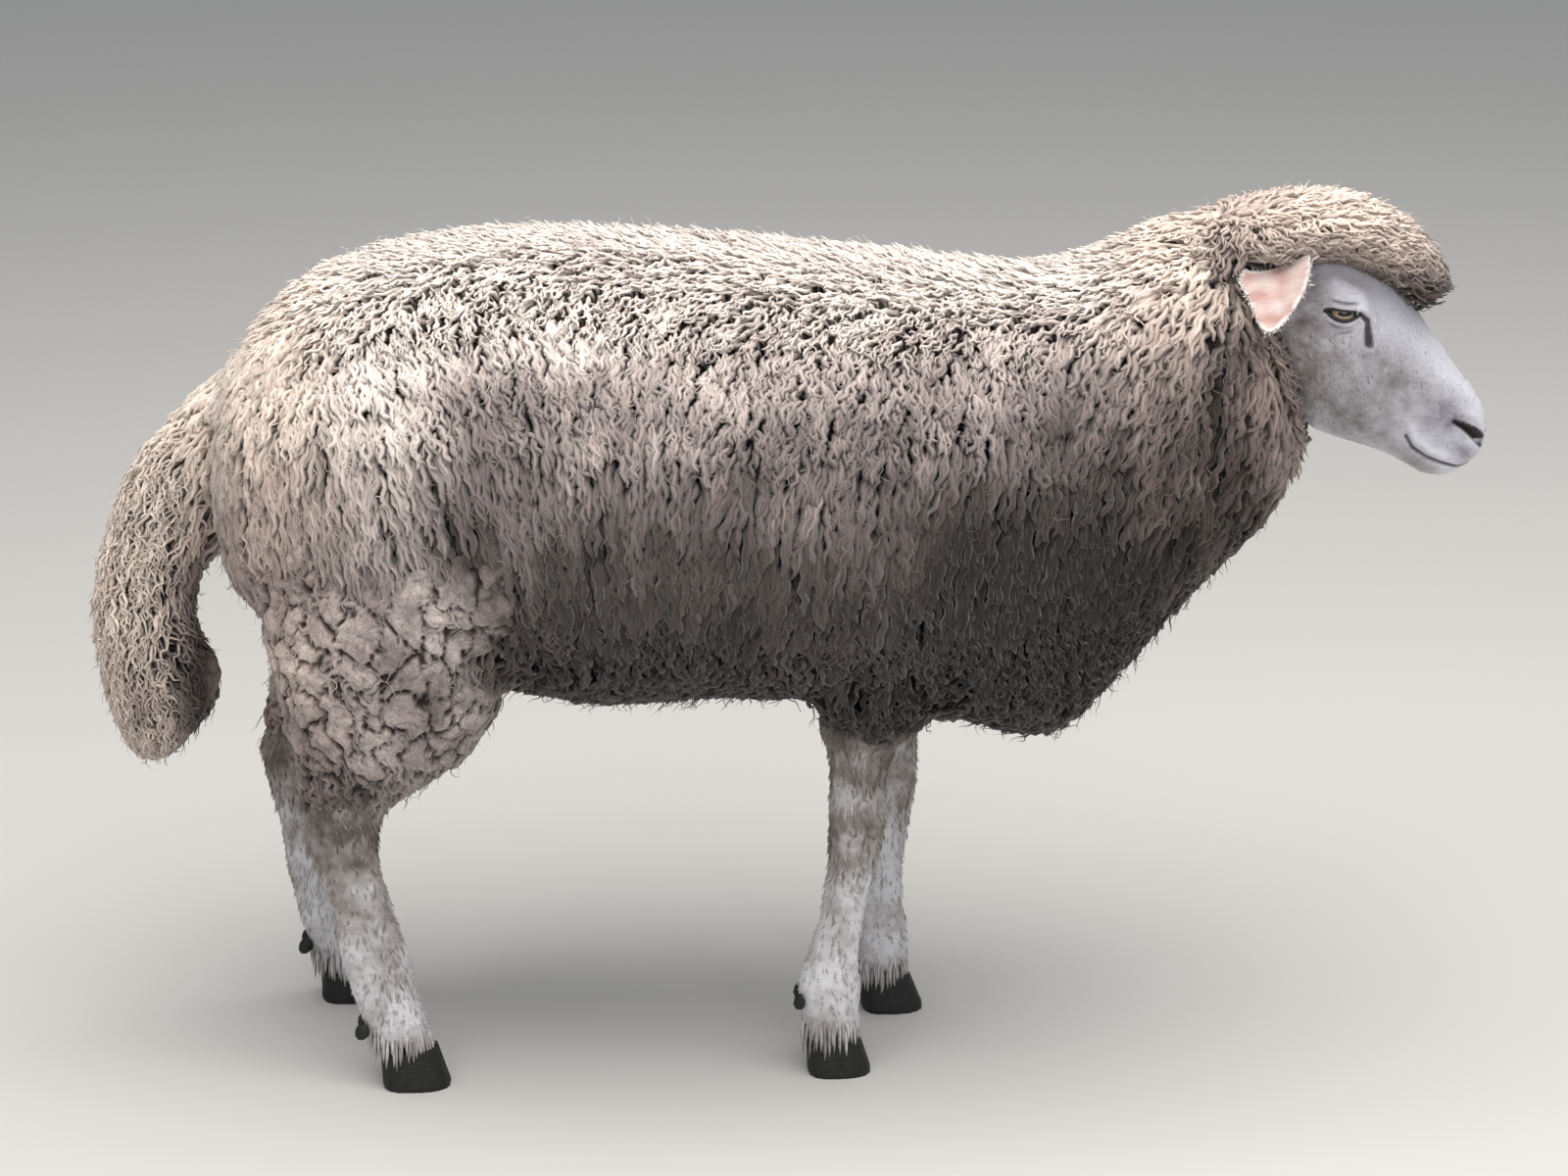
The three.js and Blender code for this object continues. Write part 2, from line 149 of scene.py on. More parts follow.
# %% Join the flesh
FLESH = [n for n in nodes if not n.startswith(("eye", "ear", "topknot"))]
FLESH = [n for n in FLESH if "hoof" not in n and "dewclaw" not in n]
PARTS = FLESH + ["topknot"]  # what wool grows on, or is
CUT_CLEARANCE = 0.6 * MM
VOXEL = 8.5 * MM

# The head's own frame: s runs from the back of the skull to the lips, h towards the brow.
NOSTRIL_PLUGS = ((208, 9.5, 29, 5.5), (217, 9, 25, 7), (227, 7, 20, 7))  # s, h, y and radius
SOCKET_PLUG = 1.04  # the ball in an eye socket is this much larger than the eye
HEAD_BACK = np.array([405, 0, 695]) * MM
HEAD_SLOPE = math.radians(37.7)
ALONG = np.array([math.cos(HEAD_SLOPE), 0, -math.sin(HEAD_SLOPE)])
UPWARD = np.array([math.sin(HEAD_SLOPE), 0, math.cos(HEAD_SLOPE)])
EYE = {side: sum(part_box("eye_" + side), Vector()) / 2 for side in ("right", "left")}
EYE_RADIUS = (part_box("eye_right")[1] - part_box("eye_right")[0]).z / 2


def on_head(s, h, y=0.0):
    return HEAD_BACK + ALONG * s + UPWARD * h + np.array([0, y, 0])


def smoothstep(value, low, high):
    t = np.clip((value - low) / (high - low), 0, 1)
    return t * t * (3 - 2 * t)


def add_ball(bm, centre, radius):
    made = bmesh.ops.create_icosphere(bm, subdivisions=3, radius=radius)
    bmesh.ops.translate(bm, vec=Vector(centre), verts=made["verts"])


def merged(*names):
    """The solids of some nodes in one bmesh, with their loose triangles joined up."""
    bm = bmesh.new()
    for name in names:
        bm.from_mesh(nodes[name].data)
    bmesh.ops.remove_doubles(bm, verts=bm.verts, dist=0.01 * MM)
    return bm


def swollen(names):
    """The solids of some nodes, each a little larger, so that they overlap."""
    bm = merged(*names)
    bm.normal_update()
    for vert in bm.verts:
        vert.co += vert.normal * CUT_CLEARANCE
    return bm


bm = swollen(FLESH)
for sign in (-1, 1):
    add_ball(bm, (EYE["right"].x, sign * abs(EYE["right"].y), EYE["right"].z), EYE_RADIUS * SOCKET_PLUG)
    for s, h, y, r in NOSTRIL_PLUGS:
        add_ball(bm, on_head(s * MM, h * MM, sign * y * MM), r * MM)
print(f"joined {len(FLESH)} solids of flesh")


# %% Wrap them in one surface
def shells(bm):
    """The connected shells of a bmesh, each a list of verts, the largest first."""
    found, seen = [], set()
    for first in bm.verts:
        if first in seen:
            continue
        shell, edge_of_it = [], [first]
        seen.add(first)
        while edge_of_it:
            vert = edge_of_it.pop()
            shell.append(vert)
            for edge in vert.link_edges:
                other = edge.other_vert(vert)
                if other not in seen:
                    seen.add(other)
                    edge_of_it.append(other)
        found.append(shell)
    return sorted(found, key=len, reverse=True)


def modified(bm, kind, **settings):
    """What a modifier makes of a bmesh, as a new bmesh. The old one is freed."""
    before = bpy.data.meshes.new("before")
    bm.to_mesh(before)
    bm.free()
    shape = in_scene("shape", before)
    modifier = shape.modifiers.new("modifier", kind)
    for key, value in settings.items():
        setattr(modifier, key, value)
    graph = bpy.context.evaluated_depsgraph_get()
    after = bpy.data.meshes.new_from_object(shape.evaluated_get(graph))
    bpy.data.objects.remove(shape)
    bpy.data.meshes.remove(before)
    bm = bmesh.new()
    bm.from_mesh(after)
    bpy.data.meshes.remove(after)
    return bm


def wrapped(bm, voxel):
    """The outer shell of overlapping closed shapes, as a new bmesh."""
    bm = modified(bm, "REMESH", mode="VOXEL", voxel_size=voxel)
    hidden = [vert for shell in shells(bm)[1:] for vert in shell]
    bmesh.ops.delete(bm, geom=hidden, context="VERTS")
    return bm


bm = wrapped(bm, VOXEL)
print(f"wrapped in {len(bm.faces)} faces")

# %% [markdown]
# ## Finer where the eye looks
#
# Eight millimetres is plenty for a belly under wool and far too coarse for an eyelid. So the
# faces are halved again and again, each time in a smaller region: the head and the lower
# legs, then the muzzle and the surroundings of the eyes, then lids, nostrils and lips.

# %% Regions that need finer faces
LEG_HAIR_TOP = 345 * MM


def head_place(points):
    """Points in the head's frame, as s, h and the distance from the midline."""
    away = np.asarray(points) - HEAD_BACK
    return away @ ALONG, away @ UPWARD, np.abs(np.asarray(points)[..., 1])


LEFT_EYE = np.array([EYE["right"].x, abs(EYE["right"].y), EYE["right"].z])


def folded(points):
    """Points of both sides, brought to the left one."""
    return np.asarray(points) * [1, 0, 1] + np.abs(np.asarray(points)) * [0, 1, 0]


def gap_to_eye(points):
    return np.linalg.norm(folded(points) - LEFT_EYE, axis=-1)


def bare_head(points):
    s, h, _ = head_place(points)
    return (s > 15 * MM) & (h > -95 * MM)


def lower_leg(points):
    return np.asarray(points)[..., 2] < LEG_HAIR_TOP


def muzzle(points):
    s, h, _ = head_place(points)
    return (s > 170 * MM) & (h > -95 * MM)


def lips_and_nostrils(points):
    s, h, _ = head_place(points)
    nose = (s > 198 * MM) & (np.abs(h - 6 * MM) < 16 * MM)
    lips = (s > 168 * MM) & (np.abs(h + 30 * MM) < 11 * MM)
    return nose | lips


FINER = [  # each region is halved once more than the one before
    lambda p: bare_head(p) | lower_leg(p),
    lambda p: (bare_head(p) & (gap_to_eye(p) < 48 * MM)) | muzzle(p),
    lambda p: (gap_to_eye(p) < 29 * MM) | lips_and_nostrils(p),
    lambda p: gap_to_eye(p) < 24 * MM,
]

# %% Smooth and subdivide
def vert_array(bm):
    return np.array([v.co for v in bm.verts])


SHRINK_AND_SWELL = (0.5, -0.53)  # Taubin's pair, which smooths and keeps the bulk
SMOOTH_ROUNDS, REGION_ROUNDS = 7, 5


def smooth_verts(points, edges, share, rounds, steps=SHRINK_AND_SWELL):
    """Moves each point towards the mean of its neighbours, or away from it."""
    neighbours = np.bincount(edges.ravel(), minlength=len(points)).clip(1)[:, None]
    for step in steps * rounds:
        total = np.zeros_like(points)
        for axis in range(3):
            total[:, axis] = np.bincount(
                edges[:, 0], points[edges[:, 1], axis], len(points)
            ) + np.bincount(edges[:, 1], points[edges[:, 0], axis], len(points))
        points = points + step * share[:, None] * (total / neighbours - points)
    return points


def write_verts(bm, points):
    for vert, place in zip(bm.verts, points):
        vert.co = place


def edge_array(bm):
    bm.verts.index_update()
    return np.array([[v.index for v in e.verts] for e in bm.edges])


def triangle_arrays(bm):
    bmesh.ops.triangulate(bm, faces=bm.faces)
    points, edges = vert_array(bm), edge_array(bm)
    faces = np.array([[v.index for v in f.verts] for f in bm.faces])
    bm.free()
    return points, edges, faces


points = smooth_verts(vert_array(bm), edge_array(bm), np.ones(len(bm.verts)), SMOOTH_ROUNDS)
write_verts(bm, points)
for inside in FINER:
    chosen = inside(vert_array(bm))
    bm.verts.index_update()
    edges = [e for e in bm.edges if all(chosen[v.index] for v in e.verts)]
    bmesh.ops.subdivide_edges(bm, edges=edges, cuts=1, use_grid_fill=True)
    points = vert_array(bm)
    points = smooth_verts(points, edge_array(bm), inside(points).astype(float), REGION_ROUNDS)
    write_verts(bm, points)
hull_points, hull_edges, hull_faces = triangle_arrays(bm)
print(f"outline: {len(hull_faces)} triangles")


# %% [markdown]
# ## The skin, deeper by the coat's depth
#
# On the animal the skin is the outline less the length of the wool: some 30 mm on the body,
# nothing to speak of on the face and the shins. The outline's points are drawn in along their
# normals in small steps, with a little smoothing after each, so that no fold crosses itself.
# A Displace modifier could do it in one step, but would turn the armpits inside out.

# %% Normals
def vertex_normals(points, faces):
    a, b, c = (points[faces[:, k]] for k in range(3))
    crossed = np.cross(b - a, c - a)
    normals = np.zeros_like(points)
    for axis in range(3):
        for corner in range(3):
            normals[:, axis] += np.bincount(faces[:, corner], crossed[:, axis], len(points))
    return unit(normals)


def unit(vectors):
    return vectors / np.linalg.norm(vectors, axis=-1, keepdims=True).clip(1e-12)


# %% A surface that points can be laid on
class Surface:
    """A triangle mesh that points can be laid on."""

    def __init__(self, points, faces, part=None):
        self.points, self.faces = points, faces
        self.part = part  # the number of the flesh node that each face belongs to
        self.normals = vertex_normals(points, faces)
        self.tree = BVHTree.FromPolygons(points.tolist(), faces.tolist())

    def nearest(self, places):
        """The nearest places on the surface, with their faces and the share of each corner."""
        found = [self.tree.find_nearest(place) for place in places.tolist()]
        hit = np.array([f[0] for f in found])
        face = np.array([f[2] for f in found])
        a, b, c = (self.points[self.faces[face, k]] for k in range(3))
        whole = np.linalg.norm(np.cross(b - a, c - a), axis=1).clip(1e-15)
        share_a = np.linalg.norm(np.cross(b - hit, c - hit), axis=1) / whole
        share_b = np.linalg.norm(np.cross(c - hit, a - hit), axis=1) / whole
        return hit, face, np.stack([share_a, share_b, 1 - share_a - share_b], 1).clip(0, 1)

    def blend(self, values, face, share):
        """Values that belong to the points, at places given by face and share."""
        return np.einsum("nk,nk...->n...", share, values[self.faces[face]])


# %% Which part each point belongs to
def triangles_of(names):
    """The CAD nodes' triangles, and for each the number of its node in names."""
    points, faces, owner = [], [], []
    for number, name in enumerate(names):
        mesh = nodes[name].data
        first = sum(len(p) for p in points)
        points.append(np.array([v.co for v in mesh.vertices]))
        faces.append(np.array([p.vertices[:] for p in mesh.polygons]) + first)
        owner.append(np.full(len(mesh.polygons), number))
    return np.concatenate(points), np.concatenate(faces), np.concatenate(owner)


cad_points, cad_faces, cad_owner = triangles_of(FLESH)
flesh = Surface(cad_points, cad_faces)
hull = Surface(hull_points, hull_faces)
hull_part = cad_owner[flesh.nearest(hull_points)[1]]


def part_of(number, *starts):
    """Whether the numbered parts have names that start with one of these."""
    yes = np.array([name.startswith(starts) for name in PARTS])
    return yes[number]


print("points by part:", dict(zip(FLESH, np.bincount(hull_part).tolist())))

# %% How deep the coat is
BODY_WOOL = 31 * MM
TAIL_WOOL = 27 * MM
FACE_HAIR = 0.8 * MM
LEG_HAIR = 1.8
HIND_WOOL = ((245, LEG_HAIR), (280, 12), (340, 24), (400, 31))  # height and depth
FORE_WOOL = ((316, LEG_HAIR), (334, 9), (366, 28))


def ramp(value, stops):
    """Straight between stops, which pair a height with a depth, both in millimetres."""
    at, depth = np.array(stops).T * MM
    return np.interp(value, at, depth)


def coat_depth(points, part):
    height = points[:, 2]
    depth = np.full(len(points), BODY_WOOL)
    depth = np.where(part_of(part, "tail"), TAIL_WOOL, depth)
    depth = np.where(part_of(part, "hindleg"), ramp(height, HIND_WOOL), depth)
    depth = np.where(part_of(part, "foreleg"), ramp(height, FORE_WOOL), depth)
    return np.where(part_of(part, "head", "lower_jaw"), FACE_HAIR, depth)


def spread_value(value, edges, rounds):
    """Each point's value shared with its neighbours, so that steps in it become slopes."""
    neighbours = np.bincount(edges.ravel(), minlength=len(value)).clip(1)
    for _ in range(rounds):
        total = np.bincount(edges[:, 0], value[edges[:, 1]], len(value))
        total += np.bincount(edges[:, 1], value[edges[:, 0]], len(value))
        value = (value + total / neighbours) / 2
    return value


depth = spread_value(coat_depth(hull_points, hull_part), hull_edges, 4)
SHRINK_STEPS = 8
skin_points = hull_points.copy()
woolly = smoothstep(depth, 2 * MM, 8 * MM)
for _ in range(SHRINK_STEPS):
    skin_points -= vertex_normals(skin_points, hull_faces) * (depth / SHRINK_STEPS)[:, None]
    skin_points = smooth_verts(skin_points, hull_edges, woolly * 0.8, 3, steps=(0.5,))
print(f"skin: {depth.max() / MM:.0f} mm below the tips of the wool")


# %% [markdown]
# ## The face
#
# A sheep's head is bone under thin skin, so its forms are crisp: a lid over a bulging eye, a
# gland's slit in front of it, a comma of a nostril and a long mouth. Sculpting by hand is how
# a person would do it. Here each form is a groove or a swelling along a short line, told in
# the head's own frame, and the points near that line move along their normals.

# %% Grooves and swellings
def to_line(points, line):
    """How far points are from a polyline, and how far along it, from 0 to 1, they are nearest."""
    line = np.array(line, float)
    lengths = np.linalg.norm(np.diff(line, axis=0), axis=1)
    best, place, gone = np.full(len(points), np.inf), np.zeros(len(points)), 0.0
    for start, end, length in zip(line[:-1], line[1:], lengths):
        along = ((points - start) @ (end - start) / length**2).clip(0, 1)
        away = np.linalg.norm(points - start - along[:, None] * (end - start), axis=1)
        nearer = away < best
        best = np.where(nearer, away, best)
        place = np.where(nearer, (gone + along * length) / lengths.sum(), place)
        gone += length
    return best, place


def soft(away, width):
    """1 on a line and close to 0 two widths away from it."""
    return np.exp(-((away / width) ** 2))


eye_middle = LEFT_EYE / MM
NOSTRIL = [(202, 7), (211, 9), (221, 9.6), (230, 8.6), (237, 6)]  # s and h of its middle
MOUTH = [(177, -27), (189, -32), (203, -31.5), (218, -27.5), (232, -22), (239, -15.5), (243, -9)]
PHILTRUM = [(243, 6), (246, -4), (244, -12)]
GLAND = [(13, 1.5), (20.3, -5.5), (21.3, -12), (22.7, -21), (23.7, -28)]  # from the eye: x, z
LID_TURN = math.radians(6.1)
LID = {"x": -1.0, "z": 3.0, "half": 14.0, "upper": 1.0, "lower": 6.4}
LID_CREASE, POUCH_CREASE, CHEEK_CREASE = 7.0, -13.5, -18.5
LID_THICKNESS = 1.5


def face_frame(points):
    """Places in millimetres: in the head's frame, and in the side view from the eye."""
    s, h, y = head_place(points)
    head = np.stack([s, h, y], 1) / MM
    side = np.stack([points[:, 0], points[:, 2]], 1) / MM - eye_middle[[0, 2]]
    return head, side


def lid_place(side):
    """Along the line between the corners of the eye, across it, and how far inside the lids."""
    across = side - (LID["x"], LID["z"])
    u = across[:, 0] * math.cos(LID_TURN) - across[:, 1] * math.sin(LID_TURN)
    v = across[:, 0] * math.sin(LID_TURN) + across[:, 1] * math.cos(LID_TURN)
    open_share = (1 - (u / LID["half"]) ** 2).clip(0, 1)
    upper, lower = LID["upper"] * open_share**0.6, -LID["lower"] * open_share**0.8
    inside = np.min([upper - v, v - lower, LID["half"] - np.abs(u)], axis=0)
    return u, v, inside


# %% Forms of the face
head, side = face_frame(skin_points)
on_head_skin = part_of(hull_part, "head", "lower_jaw") & (head[:, 0] > 0)
flank_of_face = on_head_skin & (head[:, 2] > 22)
mouth_gap = to_line(head[:, :2], MOUTH)[0]
gland_gap, gland_at = to_line(side, GLAND)
u, v, inside = lid_place(side)
near_eye = flank_of_face & (np.hypot(side[:, 0], side[:, 1]) < 30)


def ellipsoid(head, centre, radii):
    return smoothstep(1 - np.linalg.norm((head - centre) / radii, axis=1), 0, 1)


def along_side(line, width):
    """A soft ridge on the flank of the face, along a line in the head's s and h."""
    return soft(to_line(head[:, :2], line)[0], width) * flank_of_face


def nostril_gap_at(head):
    """How far places are outside the nostril's comma, negative inside it, in millimetres."""
    away, at = to_line(head[:, :2], NOSTRIL)
    half = np.interp(at, [0, 0.25, 0.6, 0.85, 1], [1.2, 2.6, 4.4, 4.4, 3.4])
    return away - half + 30 * (1 - smoothstep(head[:, 2], 7, 12))


nostril_gap = nostril_gap_at(head)
ends = smoothstep(14 - np.abs(u), 0, 6) * near_eye
gland_width = 1.6 + 2.4 * gland_at
swelling = np.zeros(len(skin_points))  # millimetres, outwards
swelling += 3.5 * ellipsoid(head, (62, -40, 56), (48, 34, 40)) * flank_of_face  # cheek muscle
swelling += 2.6 * along_side([(78, 2), (120, -14), (165, -20)], 7)  # facial crest
swelling -= 3.0 * along_side([(112, 8), (165, 4)], 10)  # hollow beside the nose
swelling += 4.0 * along_side([(38, 40), (62, 43), (84, 33)], 7)  # brow ridge
swelling -= 2.0 * along_side([(90, 22), (104, 6)], 7)  # hollow before the eye
swelling += 2.6 * along_side([(200, 15), (212, 19), (226, 19), (236, 15)], 4)  # alar rim
swelling -= 9.0 * (1 - smoothstep(nostril_gap, -2.2, 0.6)) * on_head_skin
swelling -= 3.6 * soft(mouth_gap, 1.4) * on_head_skin
swelling += 2.0 * along_side(np.array(MOUTH) + (0, 6), 4)  # upper lip
swelling += 1.6 * along_side(np.array(MOUTH[1:6]) - (0, 7), 5)  # lower lip
swelling -= 2.6 * soft(to_line(head[:, :2], PHILTRUM)[0], 6) * soft(head[:, 2], 1.8) * on_head_skin
swelling -= 3.4 * np.exp(-((gland_gap / gland_width) ** 2)) * flank_of_face
swelling += 1.4 * soft(gland_gap - gland_width - 2.4, 1.8) * flank_of_face
swelling += 1.9 * soft(v - 4.0, 2.1) * ends  # upper lid
swelling -= 2.0 * soft(v - LID_CREASE - 0.01 * u**2, 1.2) * ends
swelling += 1.7 * soft(v + 10.0, 2.0) * ends  # lower lid
swelling -= 1.8 * soft(v - POUCH_CREASE - 0.02 * u**2, 1.1) * ends
swelling -= 1.2 * soft(v - CHEEK_CREASE - 0.02 * u**2, 1.2) * ends * smoothstep(u, -8, 4)
swelling = spread_value(swelling, hull_edges, 1)
print(f"face: {on_head_skin.sum()} points, {near_eye.sum()} of them round the eyes")

# %% Bulge the lids over the eye
eyeward = folded(skin_points) - eye_middle * MM
reach = np.linalg.norm(eyeward, axis=1, keepdims=True)
lid_reach = EYE_RADIUS + LID_THICKNESS * MM
over_eye = smoothstep(22 * MM - reach[:, 0], 0, 6 * MM) * near_eye
bulged = np.maximum(reach, lid_reach)
behind_eye = EYE_RADIUS - 2.2 * MM
opening = smoothstep(inside, -0.3, 0.9)[:, None] * near_eye[:, None]
bulged = bulged * (1 - opening) + behind_eye * opening
moved = eyeward / reach * (bulged - reach) * over_eye[:, None]
mirror = np.where(skin_points[:, 1:2] < 0, -1.0, 1.0) * [0, 1, 0] + [1, 0, 1]
skin_points = skin_points + moved * mirror
skin_points += vertex_normals(skin_points, hull_faces) * (swelling * MM)[:, None]
print(f"lids: {LID['upper'] + LID['lower']:.1f} mm apart at the middle of the eye")

# %% [markdown]
# ## How a lock of wool lies
#
# A fleece isn't combed hair: it is thousands of locks, each a wavy rope some 8 mm across, that
# grow out of the skin and then hang over their lower neighbours like shingles. Each lock here
# is a three-sided tube. Its path starts on the skin, rises to the outline, and follows the
# outline along the lie of the coat. Hair curves would be easier to comb, but they are dropped
# when a model leaves Blender, so the locks are real faces from the start.

# %% The lie of the coat
HEAD_CROWN = np.array([400, 0, 768]) * MM


def lie_of_fleece(points, normals, part):
    """Which way the wool runs: down the sides, and backwards where it can't hang."""
    x, z = points[:, 0] / MM, points[:, 2] / MM
    level = smoothstep(np.abs(normals[:, 2]), 0.55, 0.98)
    slant = np.interp(x, [-420, -290, -180, -60, 230, 300, 400], [0, 0.3, 0.12, -0.2, -0.2, -0.5, -0.3])
    slant = np.where(z < 560, slant * np.interp(z, [420, 560], [0.4, 1]), slant)
    slant = slant - 0.45 * level
    tail = part_of(part, "tail")
    slant = np.where(tail, np.interp(z, [300, 380, 520, 600], [0.15, -0.1, -0.5, -0.9]), slant)
    return unit(np.stack([slant, np.zeros_like(x), -np.ones_like(x)], 1))


def lie_of_topknot(points, normals, part):
    """Outwards from the crown, and more forward than back."""
    away = (points - HEAD_CROWN) / MM + [28, 0, 0]
    return unit(away * [1, 1, 0.6] + [0, 0, -6])


def lie_of_wool(points, normals, part):
    forelock = part_of(part, "topknot")[:, None]
    down = lie_of_fleece(points, normals, part)
    return np.where(forelock, lie_of_topknot(points, normals, part), down)


def track(surface, start, lie, part, stride, steps, turn=0.0, bend=0.0):
    """Paths that start near a surface and run along it: places and normals, step by step.

    Each path is turned away from the lie by an angle, and bends by another on its way."""
    places, normals = [], []
    here = start
    for step in range(steps + 1):
        hit, face, share = surface.nearest(here)
        normal = unit(surface.blend(surface.normals, face, share))
        places.append(hit)
        normals.append(normal)
        way = lie(hit, normal, part)
        way = unit(way - normal * (way * normal).sum(1, keepdims=True))
        angle = np.broadcast_to(turn + bend * (step / steps - 0.5), len(hit))[:, None]
        way = way * np.cos(angle) + np.cross(normal, way) * np.sin(angle)
        here = hit + way * stride[:, None]
    return np.stack(places, 1), np.stack(normals, 1)


# %% Roots, evenly scattered
def scatter(surface, grows, gap, crowding=3.0):
    """Random roots on the faces where grows is true, thinned until none is nearer to another
    than the gap of its face. Returns their faces and the share of each corner."""
    points, faces = surface.points, surface.faces
    a, b, c = (points[faces[:, k]] for k in range(3))
    area = np.linalg.norm(np.cross(b - a, c - a), axis=1) / 2
    wanted = np.where(grows, crowding * area / gap**2, 0)
    count = random.poisson(wanted.sum())
    face = random.choice(len(faces), count, p=wanted / wanted.sum())
    u, v = random.random(count), random.random(count)
    u, v = np.where(u + v > 1, 1 - u, u), np.where(u + v > 1, 1 - v, v)
    share = np.stack([1 - u - v, u, v], 1)
    places = np.einsum("nk,nkd->nd", share, points[faces[face]])
    near = KDTree(count)
    for i, place in enumerate(places.tolist()):
        near.insert(place, i)
    near.balance()
    gap, dropped, kept = gap[face], np.zeros(count, bool), []
    for i, place in enumerate(places.tolist()):
        if not dropped[i]:
            kept.append(i)
            for _, other, _ in near.find_range(place, gap[i]):
                dropped[other] = True
    return face[kept], share[kept]


# %% [markdown]
# ## Locks gather in staples
#
# Neighbouring locks cling together by their tips and leave dark partings between the groups.
# Seeds are scattered over the fleece, farther apart down the animal than across it. Each
# lock joins its nearest seed and leans towards the seed's own path. Where two seeds are
# equally near there is a parting, as the locks on either side lean apart.

# %% Staples and partings
def join_staples(places, seeds, stretch):
    """Each place's seed, and how far it is from a parting between two seeds."""
    tree = KDTree(len(seeds))
    for i, seed in enumerate((seeds * stretch).tolist()):
        tree.insert(seed, i)
    tree.balance()
    found = [tree.find_n(place, 2) for place in (places * stretch).tolist()]
    return np.array([f[0][1] for f in found]), np.array([f[1][2] - f[0][2] for f in found])


def bumps(places, size, offset=0.0):
    """Smooth noise from -1 to 1, whose lumps are about size across."""
    shifted = places / size + offset
    return np.array([noise.noise(place) for place in shifted.tolist()]) * 1.6


# %% [markdown]
# ## From paths to tubes
#
# A lock's shape is told by a few numbers that a shearer would know: how long and how wide it
# is, how strongly it waves and how tightly, and how far its tip stands out. All the locks of a
# piece go through the same arithmetic at once, as arrays, and come out as one mesh.

# %% Tubes along many paths
SIDES = 3


def tube_faces(rings):
    """The corners of one tube's faces, and how many corners each has."""
    corners, sizes = [], []
    for ring in range(rings - 1):
        for side in range(SIDES):
            here, beside = ring * SIDES + side, ring * SIDES + (side + 1) % SIDES
            corners += [here, beside, beside + SIDES, here + SIDES]
            sizes.append(4)
    last = (rings - 1) * SIDES
    corners += [2, 1, 0, last, last + 1, last + 2]
    return np.array(corners), np.array(sizes + [3, 3])


def tube_points(path, normals, half_width, half_thickness):
    """Rings of three points round each path, with a ridge that looks away from the body."""
    along = unit(np.gradient(path, axis=1))
    side = unit(np.cross(normals, along))
    outward = unit(np.cross(along, side))
    rings = []
    for turn in (math.pi / 2, math.pi * 7 / 6, math.pi * 11 / 6):
        rings.append(
            path
            + side * (math.cos(turn) * half_width)[..., None]
            + outward * (math.sin(turn) * half_thickness)[..., None]
        )
    return np.stack(rings, 2)


# %% One mesh from many tubes
def write_attribute(mesh, key, values):
    """Stores a number for each point, or a colour or vector where values are four wide."""
    kind, field = ("FLOAT_COLOR", "color") if values.shape[-1] == 4 else ("FLOAT", "value")
    made = mesh.attributes.new(key, kind, "POINT")
    made.data.foreach_set(field, values.astype(np.float32).ravel())


def mesh_of_tubes(name, points, uvs, attributes):
    """One mesh from tubes of equal length. points is tubes x rings x sides x 3."""
    count, rings = points.shape[:2]
    corners, sizes = tube_faces(rings)
    per_tube = rings * SIDES
    all_corners = (corners[None] + np.arange(count)[:, None] * per_tube).ravel()
    all_sizes = np.tile(sizes, count)
    mesh = bpy.data.meshes.new(name)
    mesh.vertices.add(count * per_tube)
    mesh.vertices.foreach_set("co", points.astype(np.float32).ravel())
    mesh.loops.add(len(all_corners))
    mesh.loops.foreach_set("vertex_index", all_corners.astype(np.int32))
    mesh.polygons.add(len(all_sizes))
    starts = np.concatenate([[0], np.cumsum(all_sizes)[:-1]])
    mesh.polygons.foreach_set("loop_start", starts.astype(np.int32))
    layer = mesh.uv_layers.new(name="OFBake")
    layer.uv.foreach_set("vector", uvs.reshape(-1, 2)[all_corners].astype(np.float32).ravel())
    for key, values in attributes.items():
        write_attribute(mesh, key, np.broadcast_to(values, (count, rings, SIDES, values.shape[-1])))
    mesh.update(calc_edges=True)
    return mesh


def finished_piece(name, mesh, finish):
    """A piece of the model from a mesh. It rides on the root, as nothing moves by itself."""
    mesh.shade_smooth()
    mesh.materials.append(finish)
    piece = in_scene(name, mesh)
    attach(piece, "root")
    mesh.calc_loop_triangles()
    print(f"{name}: {len(mesh.loop_triangles)} triangles")
    return piece


def with_alpha(colours):
    return np.concatenate([colours, np.ones((len(colours), 1))], 1)


# %% [markdown]
# ## Colour from dirt, and painted shade on the topknot
#
# The wool itself is cream all over. What colours the animal is what it has lain in: the back
# is washed by rain, the sides are greyed, and the belly, shoulder and brisket are stained a
# dark brown. So one number, the stain, is worked out from the place on the body, and a short
# palette turns it into a colour. On the topknot that number is painted shade instead, darker
# towards its underside. Skin and coat ask the same function, and so they match.

# %% Markings
STAIN_AND_SHADE_PALETTE = ((0, "#fff6ee"), (0.3, "#ddd0ca"), (0.55, "#a09390"), (0.8, "#5c504d"), (1, "#302a28"))
# How stained the wool is at heights in millimetres, on each stretch of the body.
FLANK_STAIN = (
    (350, 1), (400, 0.98), (450, 0.91), (500, 0.77), (545, 0.65), (587, 0.56), (628, 0.43),
    (648, 0.35), (669, 0.17), (690, 0.02), (712, 0.04), (740, 0.08),
)
THIGH_STAIN = (
    (240, 0.62), (300, 0.58), (350, 0.54), (420, 0.49), (500, 0.43), (560, 0.3), (600, 0.14),
    (640, 0),
)
NECK_STAIN = ((380, 1.0), (480, 0.98), (540, 0.88), (600, 0.66), (660, 0.4), (710, 0.08), (735, 0))
TAIL_STAIN = ((260, 0.28), (340, 0.16), (450, 0.02), (600, 0))
# Painted shade on the topknot, by height in millimetres: darker towards its underside.
TOPKNOT_SHADE = ((680, 0.8), (705, 0.62), (725, 0.42), (745, 0.26), (770, 0.12))
TAIL_FRONT_STAIN = 0.6  # more, on the side of the tail that rubs the thighs
SUN_BLEACH = np.array([0.04, -0.01, -0.06])
